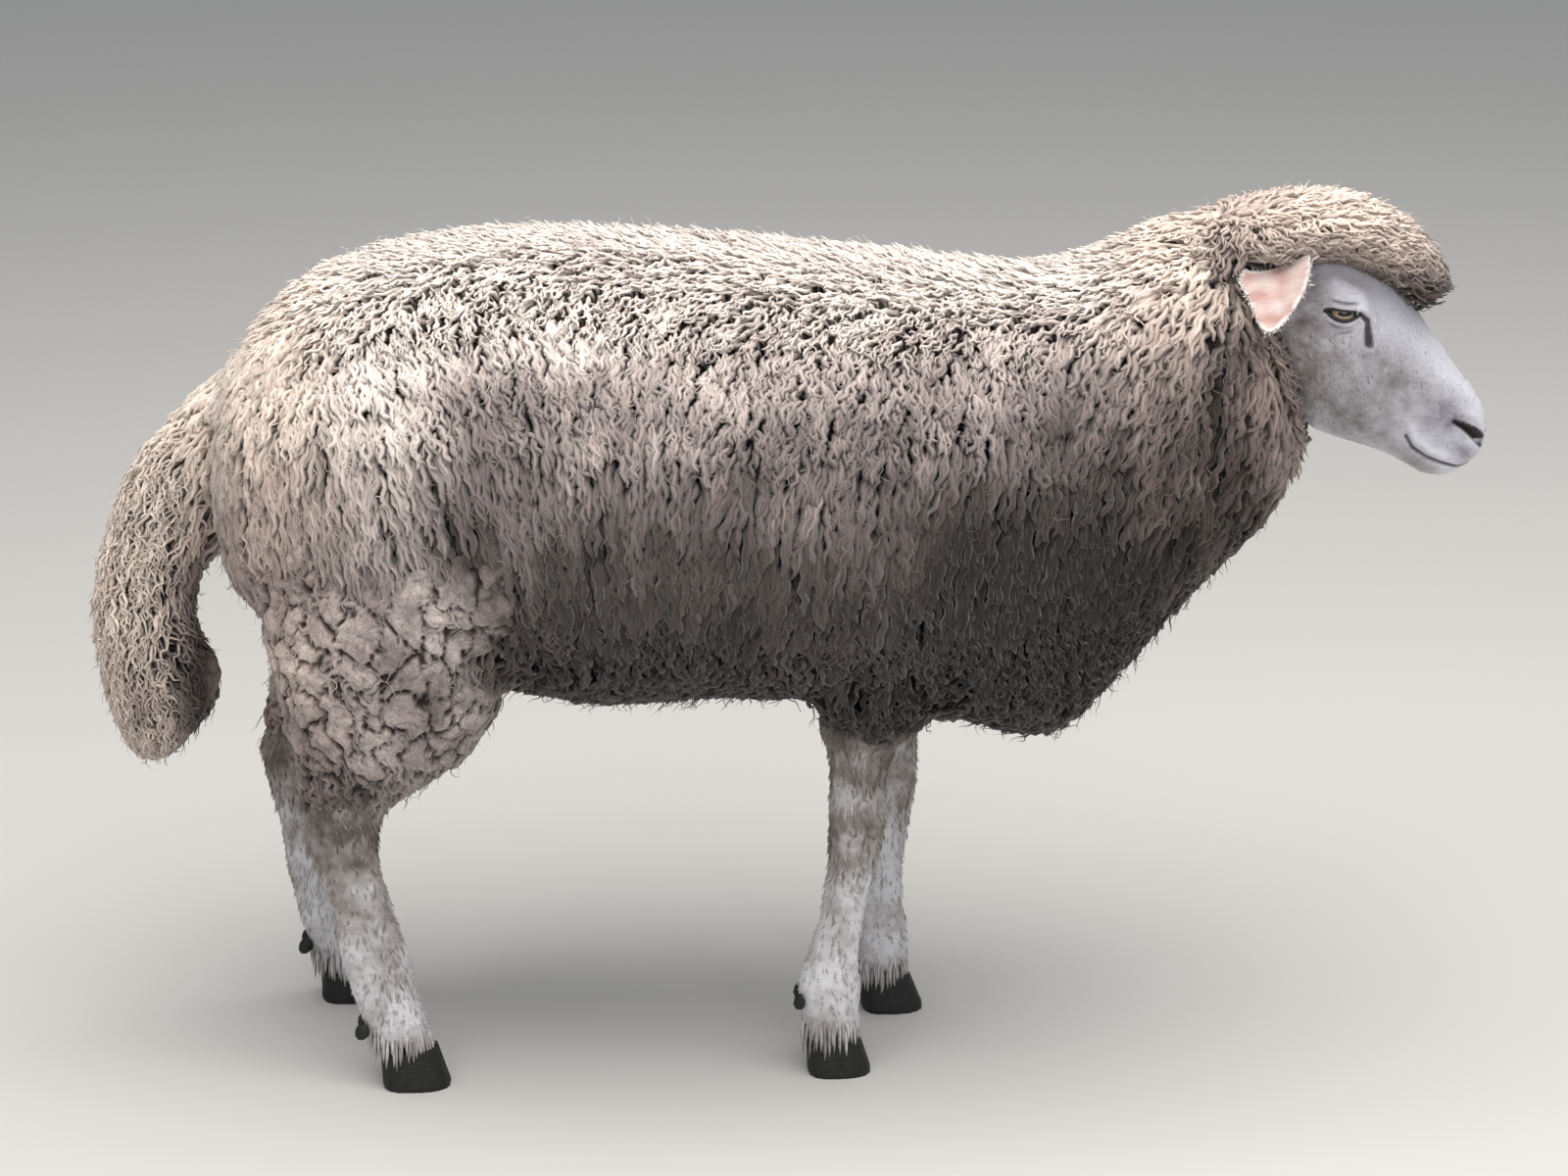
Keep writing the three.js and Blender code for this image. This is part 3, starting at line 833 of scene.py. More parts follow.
STAINED = (  # patches in the side view: x, z, half width, half height and strength
    (190, 490, 130, 120, 0.36),
    (215, 400, 150, 110, 0.2),
    (372, 655, 50, 75, 0.18),
    (-252, 495, 42, 62, 0.22),
    (200, 615, 120, 90, 0.14),
    (-190, 640, 70, 50, 0.08),
    (440, 545, 70, 70, -0.3),
)


# %% The stain's amount and colour at any place
def palette(amount, stops):
    """The colours that amounts stand for, blended between the stops on either side."""
    at = [stop[0] for stop in stops]
    colours = np.array([linear(stop[1]) for stop in stops])
    return np.stack([np.interp(amount, at, colours[:, k]) for k in range(3)], -1)


def blob(points, x, z, across, up):
    """A soft patch in the side view, 1 at its middle and 0 from its edge outwards."""
    away = np.hypot((points[:, 0] / MM - x) / across, (points[:, 2] / MM - z) / up)
    return smoothstep(1 - away, 0, 1)


def stain_and_shade(points, part):
    x, z = points[:, 0] / MM, points[:, 2] / MM

    def level(stops):
        return np.interp(z, *np.array(stops).T)

    thigh_edge = -280 - 50 * smoothstep(z, 500, 560)
    rear = 1 - smoothstep(x, thigh_edge, thigh_edge + 85)
    amount = level(FLANK_STAIN) * (1 - rear) + level(THIGH_STAIN) * rear
    front = smoothstep(x, 210, 300)
    amount = amount * (1 - front) + level(NECK_STAIN) * front
    for patch_x, patch_z, across, up, strength in STAINED:
        amount += strength * blob(points, patch_x, patch_z, across, up)
    tail_front = smoothstep(x, -540, -505) * (1 - smoothstep(z, 440, 520))
    amount = np.where(part_of(part, "tail"), level(TAIL_STAIN) + TAIL_FRONT_STAIN * tail_front, amount)
    # On the topknot the amount is painted shade, darker towards its underside.
    amount = np.where(part_of(part, "topknot"), level(TOPKNOT_SHADE), amount)
    amount += 0.12 * bumps(points, 70 * MM) + 0.09 * bumps(points, 22 * MM, 7.0)
    return np.clip(amount, 0, 1)


def wool_colour(points, part):
    """The colour of the stain, and of the painted shade on the topknot, warmer where the sun bleaches
    the coat: rump, tail and poll.
    """
    x = points[:, 0] / MM
    warm = np.maximum(1 - smoothstep(x, -430, -330), smoothstep(x, 230, 330)) * (points[:, 2] > 0.26)
    return palette(stain_and_shade(points, part), STAIN_AND_SHADE_PALETTE) * (1 + warm[:, None] * SUN_BLEACH)


# %% [markdown]
# ## A map of the skin for the coat
#
# When the colours are baked, each lock needs a little patch of a picture of its own, at the
# place where it grows. The skin is unrolled for that: the body round its long axis, the tail
# and the legs round theirs, each into its own rectangle. It is plain arithmetic, so it is
# the same on every run, which an automatic unwrap of a changing mesh is not.

# %% Unroll the skin
PATCH = 0.003  # how wide a lock's patch is on the map, whose side is 1
FULL_TURN = 2 * math.pi
LEG_NAMES = ("foreleg_right", "foreleg_left", "hindleg_right", "hindleg_left")


def unroll(points, part):
    x, y, z = points.T / MM
    axis_height = np.interp(x, [-480, 0, 230, 400], [540, 540, 520, 660])
    round_body = np.arctan2(y, z - axis_height) / FULL_TURN + 0.5
    u = 0.02 + 0.56 * (x + 490) / 940
    v = 0.52 + 0.46 * round_body
    s, h, _ = head_place(points)
    round_head = np.arctan2(y, h / MM) / FULL_TURN + 0.5
    head = part_of(part, "head", "lower_jaw", "topknot")
    u = np.where(head, 0.62 + 0.36 * (s / MM + 60) / 310, u)
    v = np.where(head, 0.52 + 0.46 * round_head, v)
    tail = part_of(part, "tail")
    round_tail = np.arctan2(y, -x - 545) / FULL_TURN + 0.5
    u = np.where(tail, 0.02 + 0.15 * round_tail, u)
    v = np.where(tail, 0.02 + 0.46 * (z - 255) / 375, v)
    for number, leg in enumerate(LEG_NAMES):
        low, high = (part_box(leg + "_lower")[k] / MM for k in (0, 1))
        turn = np.arctan2(y - (low.y + high.y) / 2, x - (low.x + high.x) / 2)
        here = part_of(part, leg)
        u = np.where(here, 0.2 + 0.2 * number + 0.17 * (turn / FULL_TURN + 0.5), u)
        v = np.where(here, 0.02 + 0.46 * z / 540, v)
    return np.clip(np.stack([u, v], 1), PATCH, 1 - PATCH)


def patches(roots_on_map, rings):
    """A patch for each tube: across for its sides, and upwards for its rings."""
    side = (np.arange(SIDES) / (SIDES - 1) - 0.5) * PATCH
    ring = (np.arange(rings) / (rings - 1) - 0.5) * PATCH
    grid = np.stack(np.meshgrid(ring, side, indexing="ij"), -1)[..., ::-1]
    return roots_on_map[:, None, None] + grid


# %% [markdown]
# ## Wool, as a finish
#
# Raw wool is a dull, greasy fibre. It has almost no gloss of its own, but its many fine edges
# catch light from behind, which the shader's sheen gives. Shade is painted into each lock:
# its base is painted darker, as the shade of its neighbours, and its two lower edges darker
# than its ridge, so that it reads as a round rope.

# %% Raw wool
def add(tree, kind, settings=(), links=()):
    """Adds a node. A setting or link is keyed by a property's name, or a socket's name or number."""
    node = tree.nodes.new(kind)
    for key, value in dict(settings).items():
        if isinstance(key, str) and hasattr(node, key):
            setattr(node, key, value)
        else:
            node.inputs[key].default_value = value
    for key, socket in dict(links).items():
        tree.links.new(socket, node.inputs[key])
    return node


MULTIPLY = {"blend_type": "MULTIPLY", "Fac": 1.0}


def new_finish(name):
    """A material with an empty Principled shader. Returns it, its tree and the shader."""
    finish = bpy.data.materials.new(name)
    finish.use_nodes = True
    return finish, finish.node_tree, finish.node_tree.nodes["Principled BSDF"]


def paint_ramp(ramp_node, stops):
    """Gives a two-colour ramp its stops, each a place and an sRGB colour."""
    for element, (at, colour) in zip(ramp_node.color_ramp.elements, stops):
        element.position, element.color = at, (*linear(colour), 1)


def raw_wool(name, root_shade="#7d6a62", bump=0.6):
    """Greasy wool in locks, whose strands run along each lock. It looks dull and deep."""
    finish, tree, shader = new_finish(name)
    colour = add(tree, "ShaderNodeAttribute", {"attribute_name": "markings"}).outputs["Color"]
    painted_shading = add(tree, "ShaderNodeAttribute", {"attribute_name": "painted_shading"}).outputs["Fac"]
    along = add(tree, "ShaderNodeAttribute", {"attribute_name": "strand"}).outputs["Vector"]
    # Painted shade: this ramp darkens each lock at its root and along its lower edges, and the cracks of
    # the plates.
    shade = add(tree, "ShaderNodeValToRGB", (), {"Fac": painted_shading})
    paint_ramp(shade, ((0, root_shade), (1, "#ffffff")))
    strands = add(
        tree, "ShaderNodeTexNoise", {"Scale": 1.0, "Detail": 2, "Roughness": 0.6}, {"Vector": along}
    ).outputs["Fac"]
    darker_and_lighter = {"From Min": 0.3, "From Max": 0.7, "To Min": 0.62, "To Max": 1.25}
    streaks = add(tree, "ShaderNodeMapRange", darker_and_lighter, {"Value": strands}).outputs[0]
    both = {"Color1": colour, "Color2": shade.outputs["Color"]}
    shaded = add(tree, "ShaderNodeMixRGB", MULTIPLY, both).outputs[0]
    streaked = add(tree, "ShaderNodeMixRGB", MULTIPLY, {"Color1": shaded, "Color2": streaks})
    relief = add(
        tree, "ShaderNodeBump", {"Strength": bump, "Distance": 0.8 * MM}, {"Height": strands}
    )
    tree.links.new(streaked.outputs[0], shader.inputs["Base Color"])
    tree.links.new(relief.outputs[0], shader.inputs["Normal"])
    shader.inputs["Roughness"].default_value = 0.88
    shader.inputs["Specular IOR Level"].default_value = 0.2
    shader.inputs["Sheen Weight"].default_value = 0.3
    shader.inputs["Sheen Roughness"].default_value = 0.6
    return finish


fleece_finish = raw_wool("raw_wool")

# %% [markdown]
# ## The fleece
#
# Each stretch of the coat has its own kind of lock: long wavy ropes on the sides, short
# pointed tips on the back where rain parts them, matted plates on the thighs, and fine soft
# locks on the tail. The kinds are told as numbers in one table, and each root looks up its own.
#
# The topknot is wool like the rest. So flesh and topknot are wrapped in one outline before
# the locks are laid, and only the lie changes there: outwards from the crown. Modelled as a
# cap of its own, it would show a seam along its edge.

# %% Kinds of lock
LENGTH, WIDTH, THICKNESS, WAVE, CRIMP, LIFT, SINK, GATHER, BLUNT, STRAY, BEND, SPACING = range(12)
KINDS = {  # millimetres, but for the shares GATHER and BLUNT and the degrees STRAY and BEND
    "side": (44, 7.2, 6.0, 2.0, 21, 0.5, 7, 0.4, 0.8, 9, 35, 5.5),
    "curls": (26, 6.4, 4.6, 2.2, 15, 1.0, 4, 0.3, 0.8, 19, 80, 4.5),
    "back": (27, 4.8, 3.8, 1.8, 14, 4.0, 5, 0.35, 0.15, 26, 60, 4.8),
    "neck": (40, 7.4, 6.0, 2.4, 20, 1.0, 8, 0.45, 0.75, 13, 50, 5.6),
    "temple": (22, 5.4, 4.4, 2.2, 14, 1.0, 2, 0.3, 0.6, 30, 90, 4.8),
    "low": (30, 5.0, 4.2, 2.5, 14, 0.5, 8, 0.3, 0.5, 24, 90, 5.0),
    "belly": (28, 6.8, 5.4, 2.8, 14, 1.0, 8, 0.35, 0.5, 34, 110, 7.4),
    "thigh": (21, 6.4, 4.0, 2.0, 14, 0.8, 1.5, 0.2, 0.7, 26, 90, 10.0),
    "hem": (20, 8.0, 6.4, 3.0, 14, 1.0, 5, 0.2, 0.85, 36, 110, 5.4),
    "tail": (34, 4.2, 3.4, 2.6, 14, 1.0, 7, 0.3, 0.2, 28, 100, 5.0),
    "topknot": (36, 5.4, 4.4, 2.8, 17, 3.5, 6, 0.35, 0.35, 26, 80, 4.7),
    "fringe": (24, 4.4, 3.6, 2.8, 14, 6.0, 3, 0.35, 0.2, 40, 110, 4.5),
    "wisp": (26, 1.3, 1.1, 3.0, 13, 6.0, 6, 0.2, 0.0, 50, 150, 15.0),
    "face": (9, 2.3, 1.0, 0.2, 9, 0.8, 0.4, 0, 0.1, 14, 30, 2.9),
    "leg": (14, 3.4, 1.7, 0.6, 11, 2.6, 0.6, 0, 0.15, 16, 50, 3.9),
    "ear": (9, 2.4, 1.1, 0.4, 9, 1.8, 0.4, 0, 0.1, 20, 40, 2.5),
}
KIND_NAMES = tuple(KINDS)
KIND_TABLE = np.array([KINDS[name] for name in KIND_NAMES])


def kind_number(name):
    return KIND_NAMES.index(name)


def kind_at(points, normals, part):
    """The kind of lock at each place. Noise keeps the borders between kinds ragged."""
    x, z = points[:, 0] / MM, points[:, 2] / MM
    ragged = bumps(points, 30 * MM, 11.0)
    up = normals[:, 2] + 0.12 * ragged
    low = z + 30 * ragged
    thigh = part_of(part, "hindleg") | ((x < -235) & (x - z < -660))
    thigh &= (z + 28 * ragged < 478) & ((x + 15 * ragged > -452) | (z < 385))
    rules = [
        (part_of(part, "topknot") & (up < -0.2), "fringe"),
        (part_of(part, "topknot"), "topknot"),
        (part_of(part, "head", "lower_jaw"), "temple"),
        (part_of(part, "tail") & (x < -500), "tail"),
        ((part_of(part, "hindleg") & (low < 290)) | (part_of(part, "foreleg") & (low < 365)), "hem"),
        (thigh & (up > -0.6), "thigh"),
        (up < -0.45, "belly"),
        (up > 0.72, "back"),
        (part_of(part, "neck") & (low > 520), "neck"),
        ((up > 0.36) & (x < 250), "curls"),
        (low < 450, "low"),
    ]
    return np.select([r[0] for r in rules], [kind_number(r[1]) for r in rules], 0)


# %% Cling together
STEPS = 7
STAPLE_SPACING = 24 * MM
STAPLE_LENGTH = 45 * MM
STAPLE_STRETCH = np.array([1, 1, 0.4])  # staples are longer down the side than across it
MOST_PULL = 10 * MM


def across(path, normals):
    return unit(np.cross(normals, unit(np.gradient(path, axis=1))))


def seed_staples(surface, grows, spacing):
    """Seeds for staples or plates: their places and their faces."""
    face, share = scatter(surface, grows, np.full(len(surface.faces), spacing), 1.5)
    return surface.blend(surface.points, face, share), face


def cling(surface, grows, lie, roots, path, normals, share_of_pull):
    """Draws paths towards their staple's middle. Also returns each path's staple's seed."""
    seeds, face = seed_staples(surface, grows, STAPLE_SPACING)
    stride = np.full(len(seeds), STAPLE_LENGTH / STEPS)
    seed_path, _ = track(surface, seeds, lie, surface.part[face], stride, STEPS)
    staple, _ = join_staples(roots, seeds, STAPLE_STRETCH)
    side = across(path, normals)
    pull = ((seed_path[staple] - path) * side).sum(-1).clip(-MOST_PULL, MOST_PULL)
    t = np.linspace(0, 1, STEPS + 1)
    path = path + side * (pull * share_of_pull[:, None] * smoothstep(t, 0, 0.8))[..., None]
    return path, seeds[staple]


# %% Partings and cracks
CRACK_WIDTH = 5 * MM
FURROW_SPACING = 34 * MM
FURROW_STRETCH = np.array([1, 1, 0.3])
FURROW_EDGE, FURROW_END = 0.03, 0.13  # of the noise that draws the furrows
PARTINGS = (  # where the fleece folds open: places in x and z, and the half width
    (((364, 650), (362, 560), (395, 500), (423, 455)), 7),
    (((-277, 532), (-262, 470), (-252, 425)), 7.5),
    (((-322, 500), (-296, 455)), 5),
    (((-238, 480), (-228, 440)), 6),
)


def opened(roots, normals):
    """How near each root is to a place where the fleece folds open, on either side."""
    side_view = roots[:, [0, 2]] / MM
    most = np.zeros(len(roots))
    for line, half in PARTINGS:
        away = to_line(side_view, line)[0] + 2 * bumps(roots, 25 * MM, 31.0)
        most = np.maximum(most, 1 - smoothstep(away, 0.35 * half, half))
    return most * (np.abs(normals[:, 1]) > 0.3)


def cracks(roots, normals, from_crack, matted):
    """How near each root is to a gap in the fleece, from 0 to 1: furrows that run down the
    sides, folds, and on matted stretches the cracks between the plates."""
    furrow = np.abs(bumps(roots * FURROW_STRETCH, FURROW_SPACING, 21.0))
    in_patches = smoothstep(bumps(roots, 90 * MM, 4.0), -0.35, 0.3)
    furrow = (1 - smoothstep(furrow, FURROW_EDGE, FURROW_END)) * in_patches
    furrow = np.maximum(furrow * (1 - smoothstep(normals[:, 2], 0.15, 0.5)), opened(roots, normals))
    return np.where(matted, 1 - smoothstep(from_crack, 0, CRACK_WIDTH), furrow)


# %% Settle locks below the outline
LENGTH_SPREAD, LIFT_SPREAD, WAVE_SPREAD = (0.7, 1.25), (0.5, 1.5), (0.6, 1.3)
SWIRL_SIZE = 28 * MM
PLATE_SPACING = 30 * MM
PLATE_TURN = 0.9  # radians, at most, that the locks on one plate are turned together
STAPLE_LUMPS, BODY_LUMPS = 35 * MM, 120 * MM
UNEVEN_SINK, LUMP_SINK, CRACK_SINK = (-1, 3), 2.5, 9  # millimetres, for a lock 5 mm thick
LEAST_SINK = 0.36  # of a lock's thickness, which keeps the lock inside the outline
BOB = 0.45  # how far a wave goes up and down, as a share of its swing to the sides
TUCK = 0.45  # how far a blunt tip turns in, as a share of its thickness
RISE = (0.0, 0.6)  # how far up from the skin a lock is at its first rings


def settle(path, normals, spec, length, seed, roots, crack, matted):
    """Paths sunk below the outline, with their tips lifted or tucked in, and with waves."""
    count, t = len(path), np.linspace(0, 1, path.shape[1])
    lumps = 0.7 * bumps(seed, STAPLE_LUMPS, 3.0) + bumps(roots, BODY_LUMPS, 9.0)
    uneven = random.uniform(*UNEVEN_SINK, count) * np.where(matted, 0.3, 1) - lumps * LUMP_SINK
    deeper = (crack * CRACK_SINK + uneven) * spec[:, THICKNESS] / 5
    sink = spec[:, SINK, None] * (1 - t) + 0.5 * spec[:, THICKNESS, None] + deeper[:, None]
    tuck = spec[:, BLUNT, None] * spec[:, THICKNESS, None] * TUCK * smoothstep(t, 0.6, 1)
    lift = spec[:, LIFT, None] * random.uniform(*LIFT_SPREAD, (count, 1)) * t**2 - tuck
    sink = (sink.clip(LEAST_SINK * spec[:, THICKNESS, None]) - lift) * MM
    phase = 6 * bumps(seed, 40 * MM, 5.0) + random.uniform(-2, 2, count)
    turns = 2 * math.pi * t * (length / (spec[:, CRIMP] * MM))[:, None] + phase[:, None]
    wave = spec[:, WAVE, None] * MM * (0.5 + 0.5 * t) * random.uniform(*WAVE_SPREAD, (count, 1))
    side = across(path, normals)
    path = path - normals * (sink - BOB * wave * np.cos(turns))[..., None]
    return path + side * (wave * np.sin(turns))[..., None]


# %% Lay locks on a surface
def lay_locks(surface, grows, kind, lie, foot_of=None, steps=STEPS):
    """The locks that cover some faces of a surface: paths, normals, roots and kinds' numbers.

    foot_of gives the places on the skin where locks at given places start, where the surface
    is the outline of a deep coat. Short hair starts on its surface, and has no foot_of."""
    table = KIND_TABLE[kind]
    face, share = scatter(surface, grows, table[:, SPACING] * MM)
    roots = surface.blend(surface.points, face, share)
    spec, part, count = table[face], surface.part[face], len(roots)
    matted = kind[face] == kind_number("thigh")
    length = spec[:, LENGTH] * MM * random.uniform(*LENGTH_SPREAD, count)
    swirl = 0.8 * bumps(roots, SWIRL_SIZE, 13.0) + 0.8 * random.standard_normal(count)
    turn = np.radians(spec[:, STRAY]) * swirl
    bend = np.radians(spec[:, BEND]) * random.uniform(-1, 1, count)
    if foot_of:
        plates, _ = seed_staples(surface, grows, PLATE_SPACING)
        plate, from_crack = join_staples(roots, plates, np.ones(3))
        turn += matted * random.uniform(-PLATE_TURN, PLATE_TURN, len(plates))[plate]
    path, normals = track(surface, roots, lie, part, length / steps, steps, turn, bend)
    seed, crack = roots, np.zeros(count)
    if foot_of:
        foot = foot_of(face, share)
        path, seed = cling(surface, grows, lie, roots, path, normals, spec[:, GATHER])
        crack = cracks(roots, normals[:, 0], from_crack, matted)
        for place in (path[:, steps // 2], path[:, -1]):
            crack = np.maximum(crack, opened(place, normals[:, 0]))
    path = settle(path, normals, spec, length, seed, roots, crack, matted)
    if foot_of:
        rise = [foot + (path[:, 0] - foot) * up for up in RISE]
        path = np.concatenate([np.stack(rise, 1), path[:, 1:]], 1)
        normals = np.concatenate([normals[:, :1].repeat(len(RISE), 1), normals[:, 1:]], 1)
    return {"path": path, "normals": normals, "spec": spec, "roots": roots, "part": part, "crack": crack}


def all_of_kind(surface, name):
    return np.full(len(surface.faces), kind_number(name))


def outside_of(surface, points):
    """How far points are outside a closed surface, negative inside."""
    hit, face, share = surface.nearest(points)
    return ((points - hit) * surface.blend(surface.normals, face, share)).sum(1)


# %% Wrap flesh and topknot together
TEMPLE_WOOL = 7 * MM
SEAM_ROUNDS = 14
SEAM, SEAM_REACH = np.array([350, 0, 735]) * MM, 75 * MM


def behind_ear(points):
    """1 where wool covers the back of the head, behind and above the ear, 0 on the face."""
    s, h, y = (value / MM for value in head_place(points))
    return smoothstep(24 - s, 0, 10) * smoothstep(h, -14, -4) * smoothstep(y, 14, 24)


points, coat_edges, coat_faces = triangle_arrays(wrapped(swollen(PARTS), VOXEL))
points = smooth_verts(points, coat_edges, np.ones(len(points)), SMOOTH_ROUNDS)
near_seam = 1 - smoothstep(np.linalg.norm(points - SEAM, axis=1), 0, SEAM_REACH)
points = smooth_verts(points, coat_edges, near_seam, SEAM_ROUNDS, steps=(0.6,))
cad_points, cad_faces, cad_owner = triangles_of(PARTS)
coat_part = cad_owner[Surface(cad_points, cad_faces).nearest(points)[1]]
temple = behind_ear(points) * part_of(coat_part, "head", "lower_jaw")
points = points + vertex_normals(points, coat_faces) * (temple * TEMPLE_WOOL)[:, None]
coat = Surface(points, coat_faces, coat_part[coat_faces[:, 0]])
coat_middle = points[coat_faces].mean(1)
coat_facing = unit(coat.normals[coat_faces].mean(1))
print(f"outline of the wool: {len(coat_faces)} triangles")

# %% Where wool grows, and of which kind
FORELOCK_RISE = 24 * MM
LEAST_WOOL = 6 * MM
EDGE_ROOT = 5 * MM
hull.part = hull_part[hull_faces[:, 0]]
skin = Surface(skin_points, hull_faces, hull.part)
wool_depth = spread_value(coat_depth(points, coat_part), coat_edges, 4)
wool_grows = (wool_depth[coat_faces].mean(1) > LEAST_WOOL) & ~part_of(coat.part, "head", "lower_jaw")
wool_grows |= temple[coat_faces].mean(1) > 0.3
coat_kind = kind_at(coat_middle, coat_facing, coat.part)
bare_face = part_of(coat_part, "head", "lower_jaw") & (temple < 0.5)
bareness = spread_value(bare_face.astype(float), coat_edges, 12)
near_face = (3 * spread_value(bare_face.astype(float), coat_edges, 22)).clip(0, 1)
border = (near_face[coat_faces].mean(1) > 0.35) & part_of(coat.part, "neck", "trunk")
coat_kind = np.where(border, kind_number("fringe"), coat_kind)
print(f"wool grows on {wool_grows.sum()} faces of the outline")

# %% Lay the fleece
def root_on_skin(face, share):
    """Locks stand on the nearest skin, and those of the topknot on the skin behind them. At
    the border of the bare face they are rooted just under the surface, as it has no depth."""
    start = coat.blend(coat.points, face, share)
    behind = lie_of_topknot(start, None, None) * part_of(coat.part[face], "topknot")[:, None]
    foot = skin.nearest(start - behind * FORELOCK_RISE)[0]
    shallow = start - coat.blend(coat.normals, face, share) * EDGE_ROOT
    return foot + (shallow - foot) * coat.blend(near_face, face, share)[:, None]


def off_the_face(locks):
    """The locks without those that run on over the bare face."""
    _, face, share = coat.nearest(locks["path"][:, -1])
    ends_bare = part_of(locks["part"], "topknot") & (coat.blend(bareness, face, share) > 0.62)
    past_ear = behind_ear(locks["path"][:, -1]) < 0.3
    ends_bare |= part_of(locks["part"], "head", "lower_jaw") & past_ear
    return {key: values[~ends_bare] for key, values in locks.items()}


fleece = off_the_face(lay_locks(coat, wool_grows, coat_kind, lie_of_wool, root_on_skin))
wisps = lay_locks(coat, wool_grows, all_of_kind(coat, "wisp"), lie_of_wool, root_on_skin)
wisps = off_the_face(wisps)
print(f"fleece: {len(fleece['roots'])} locks and {len(wisps['roots'])} wisps")


# %% Give locks width and colour
STRAND_SPACING, STRAND_RUN = 1.3, 14.0  # millimetres, across a lock and along it
POINTED = ((0, 0.7), (0.3, 1), (0.6, 0.85), (0.85, 0.5), (1, 0.08))
ROUNDED = ((0, 0.75), (0.3, 1), (0.75, 1), (0.9, 0.85), (1, 0.4))
# Painted shade along and across each lock: RIDGE_SHADE darkens its root, VALLEY its two lower edges.
RIDGE_SHADE = ((0, 0.3), (0.25, 0.92), (1, 1))
VALLEY = (0.15, 0.78)  # how light the edges of a dark and of a pale lock are, of its ridge
WISP_PALER = 1.1


def dress_locks(locks, colours):
    """Tube points, map and attributes for mesh_of_tubes."""
    count, rings = locks["path"].shape[:2]
    spec = locks["spec"]
    s = np.linspace(0, 1, rings)
    pointed, rounded = (np.interp(s, *np.array(stops).T) for stops in (POINTED, ROUNDED))
    taper = pointed + (rounded - pointed) * spec[:, BLUNT, None]
    size = random.uniform(0.75, 1.2, (count, 1)) * taper * 1.15 * MM / 2
    half_width, half_thickness = spec[:, WIDTH, None] * size, spec[:, THICKNESS, None] * size
    colours = colours * (1 + 0.09 * random.standard_normal((count, 1))).clip(0.7, 1.3)
    # Painted shade: locks in furrows, folds and cracks are painted darker.
    colours = colours * (1 - 0.6 * locks["crack"][:, None])
    # Painted shade: each lock is darker at its root, and darker on its two lower edges than on its
    # ridge, less so when it is pale.
    ridge = np.interp(s, *np.array(RIDGE_SHADE).T)[None, :, None, None]
    across = np.array([1, 0, 0])[None, None, :, None]
    valley = (VALLEY[0] + (VALLEY[1] - VALLEY[0]) * colours.mean(1))[:, None, None, None]
    colours = with_alpha(colours)[:, None, None]
    steps = np.linalg.norm(np.diff(locks["path"], axis=1), axis=-1) / MM
    gone = np.concatenate([np.zeros((count, 1)), np.cumsum(steps, 1)], 1) / STRAND_RUN
    wide = np.array([0, -1, 1]) * (spec[:, WIDTH] / 2 / STRAND_SPACING)[:, None]
    strand = np.ones((count, rings, SIDES, 4))
    strand[..., 0] = wide[:, None]
    strand[..., 1] = gone[..., None]
    strand[..., 2] = (random.random(count) * 90)[:, None, None]
    return {
        "points": tube_points(locks["path"], locks["normals"], half_width, half_thickness),
        "map": patches(unroll(locks["roots"], locks["part"]), rings),
        "markings": colours,
        "strand": strand,
        "painted_shading": ridge * (across + (1 - across) * valley),
    }


def coat_piece(name, dressed, own, finish):
    attributes = {key: dressed[key][own] for key in ("markings", "strand", "painted_shading")}
    mesh = mesh_of_tubes(name, dressed["points"][own], dressed["map"][own], attributes)
    return finished_piece(name, mesh, finish)


def middles(locks):
    """Where each lock is seen most, part of the way down from its root."""
    return locks["path"][:, -STEPS // 2]


dressed_fleece = dress_locks(fleece, wool_colour(middles(fleece), fleece["part"]))


# %% Part the fleece into pieces
def stretch_of(points, normals, part):
    """The name of the stretch of fleece that each lock belongs to."""
    x = points[:, 0] / MM
    side = np.where(points[:, 1] < 0, "_right", "_left")
    top = normals[:, 2] > 0.6

    def named(stem):
        return np.char.add(stem, side)

    rules = [
        (part_of(part, "topknot", "head", "lower_jaw"), "topknot"),
        (part_of(part, "tail"), "tail"),
        (part_of(part, "hindleg"), named("thigh")),
        (part_of(part, "foreleg"), named("elbow")),
        (part_of(part, "neck"), named("neck")),
        (normals[:, 2] < -0.45, "belly"),
        (top & (x < -120), "rump"),
        (top, "back"),
        (x < -270, named("hip")),
        (x < -60, named("flank")),
        (x < 130, named("ribs")),
    ]
    return np.select([rule[0] for rule in rules], [rule[1] for rule in rules], named("shoulder"))


stretch = stretch_of(fleece["roots"], fleece["normals"][:, 0], fleece["part"])
for where in np.unique(stretch):
    piece = coat_piece(f"fleece_{where}", dressed_fleece, stretch == where, fleece_finish)
    if where == "topknot":
        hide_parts("topknot")
dressed_wisps = dress_locks(wisps, WISP_PALER * wool_colour(middles(wisps), wisps["part"]))
for name, own in (("left", wisps["roots"][:, 1] > 0), ("right", wisps["roots"][:, 1] <= 0)):
    coat_piece(f"wisps_{name}", dressed_wisps, own, fleece_finish)

# %% [markdown]
# ## Matted plates
#
# On the thighs the locks have felted into plates 20 to 30 mm across, with dark cracks between
# them. A plate could be a lump of its own, but lumps would leave straight gaps. Here they
# are one thick sheet that follows the outline, sinks along every crack, and runs down under
# the locks all round its edge. Shade is painted into the cracks and into the grooves of the
# curls. A few blunt locks lie over it.

# %% A sheet, finely cut and given a back
SHEET_THICKNESS = 3 * MM

matted = wool_grows & (coat_kind == kind_number("thigh"))
inner_share = np.ones(len(coat.points))
inner_share[coat_faces[~matted].ravel()] = 0
touching = np.zeros(len(coat.points), bool)
touching[coat_faces[matted].ravel()] = True
touched = touching[coat_faces].any(1)


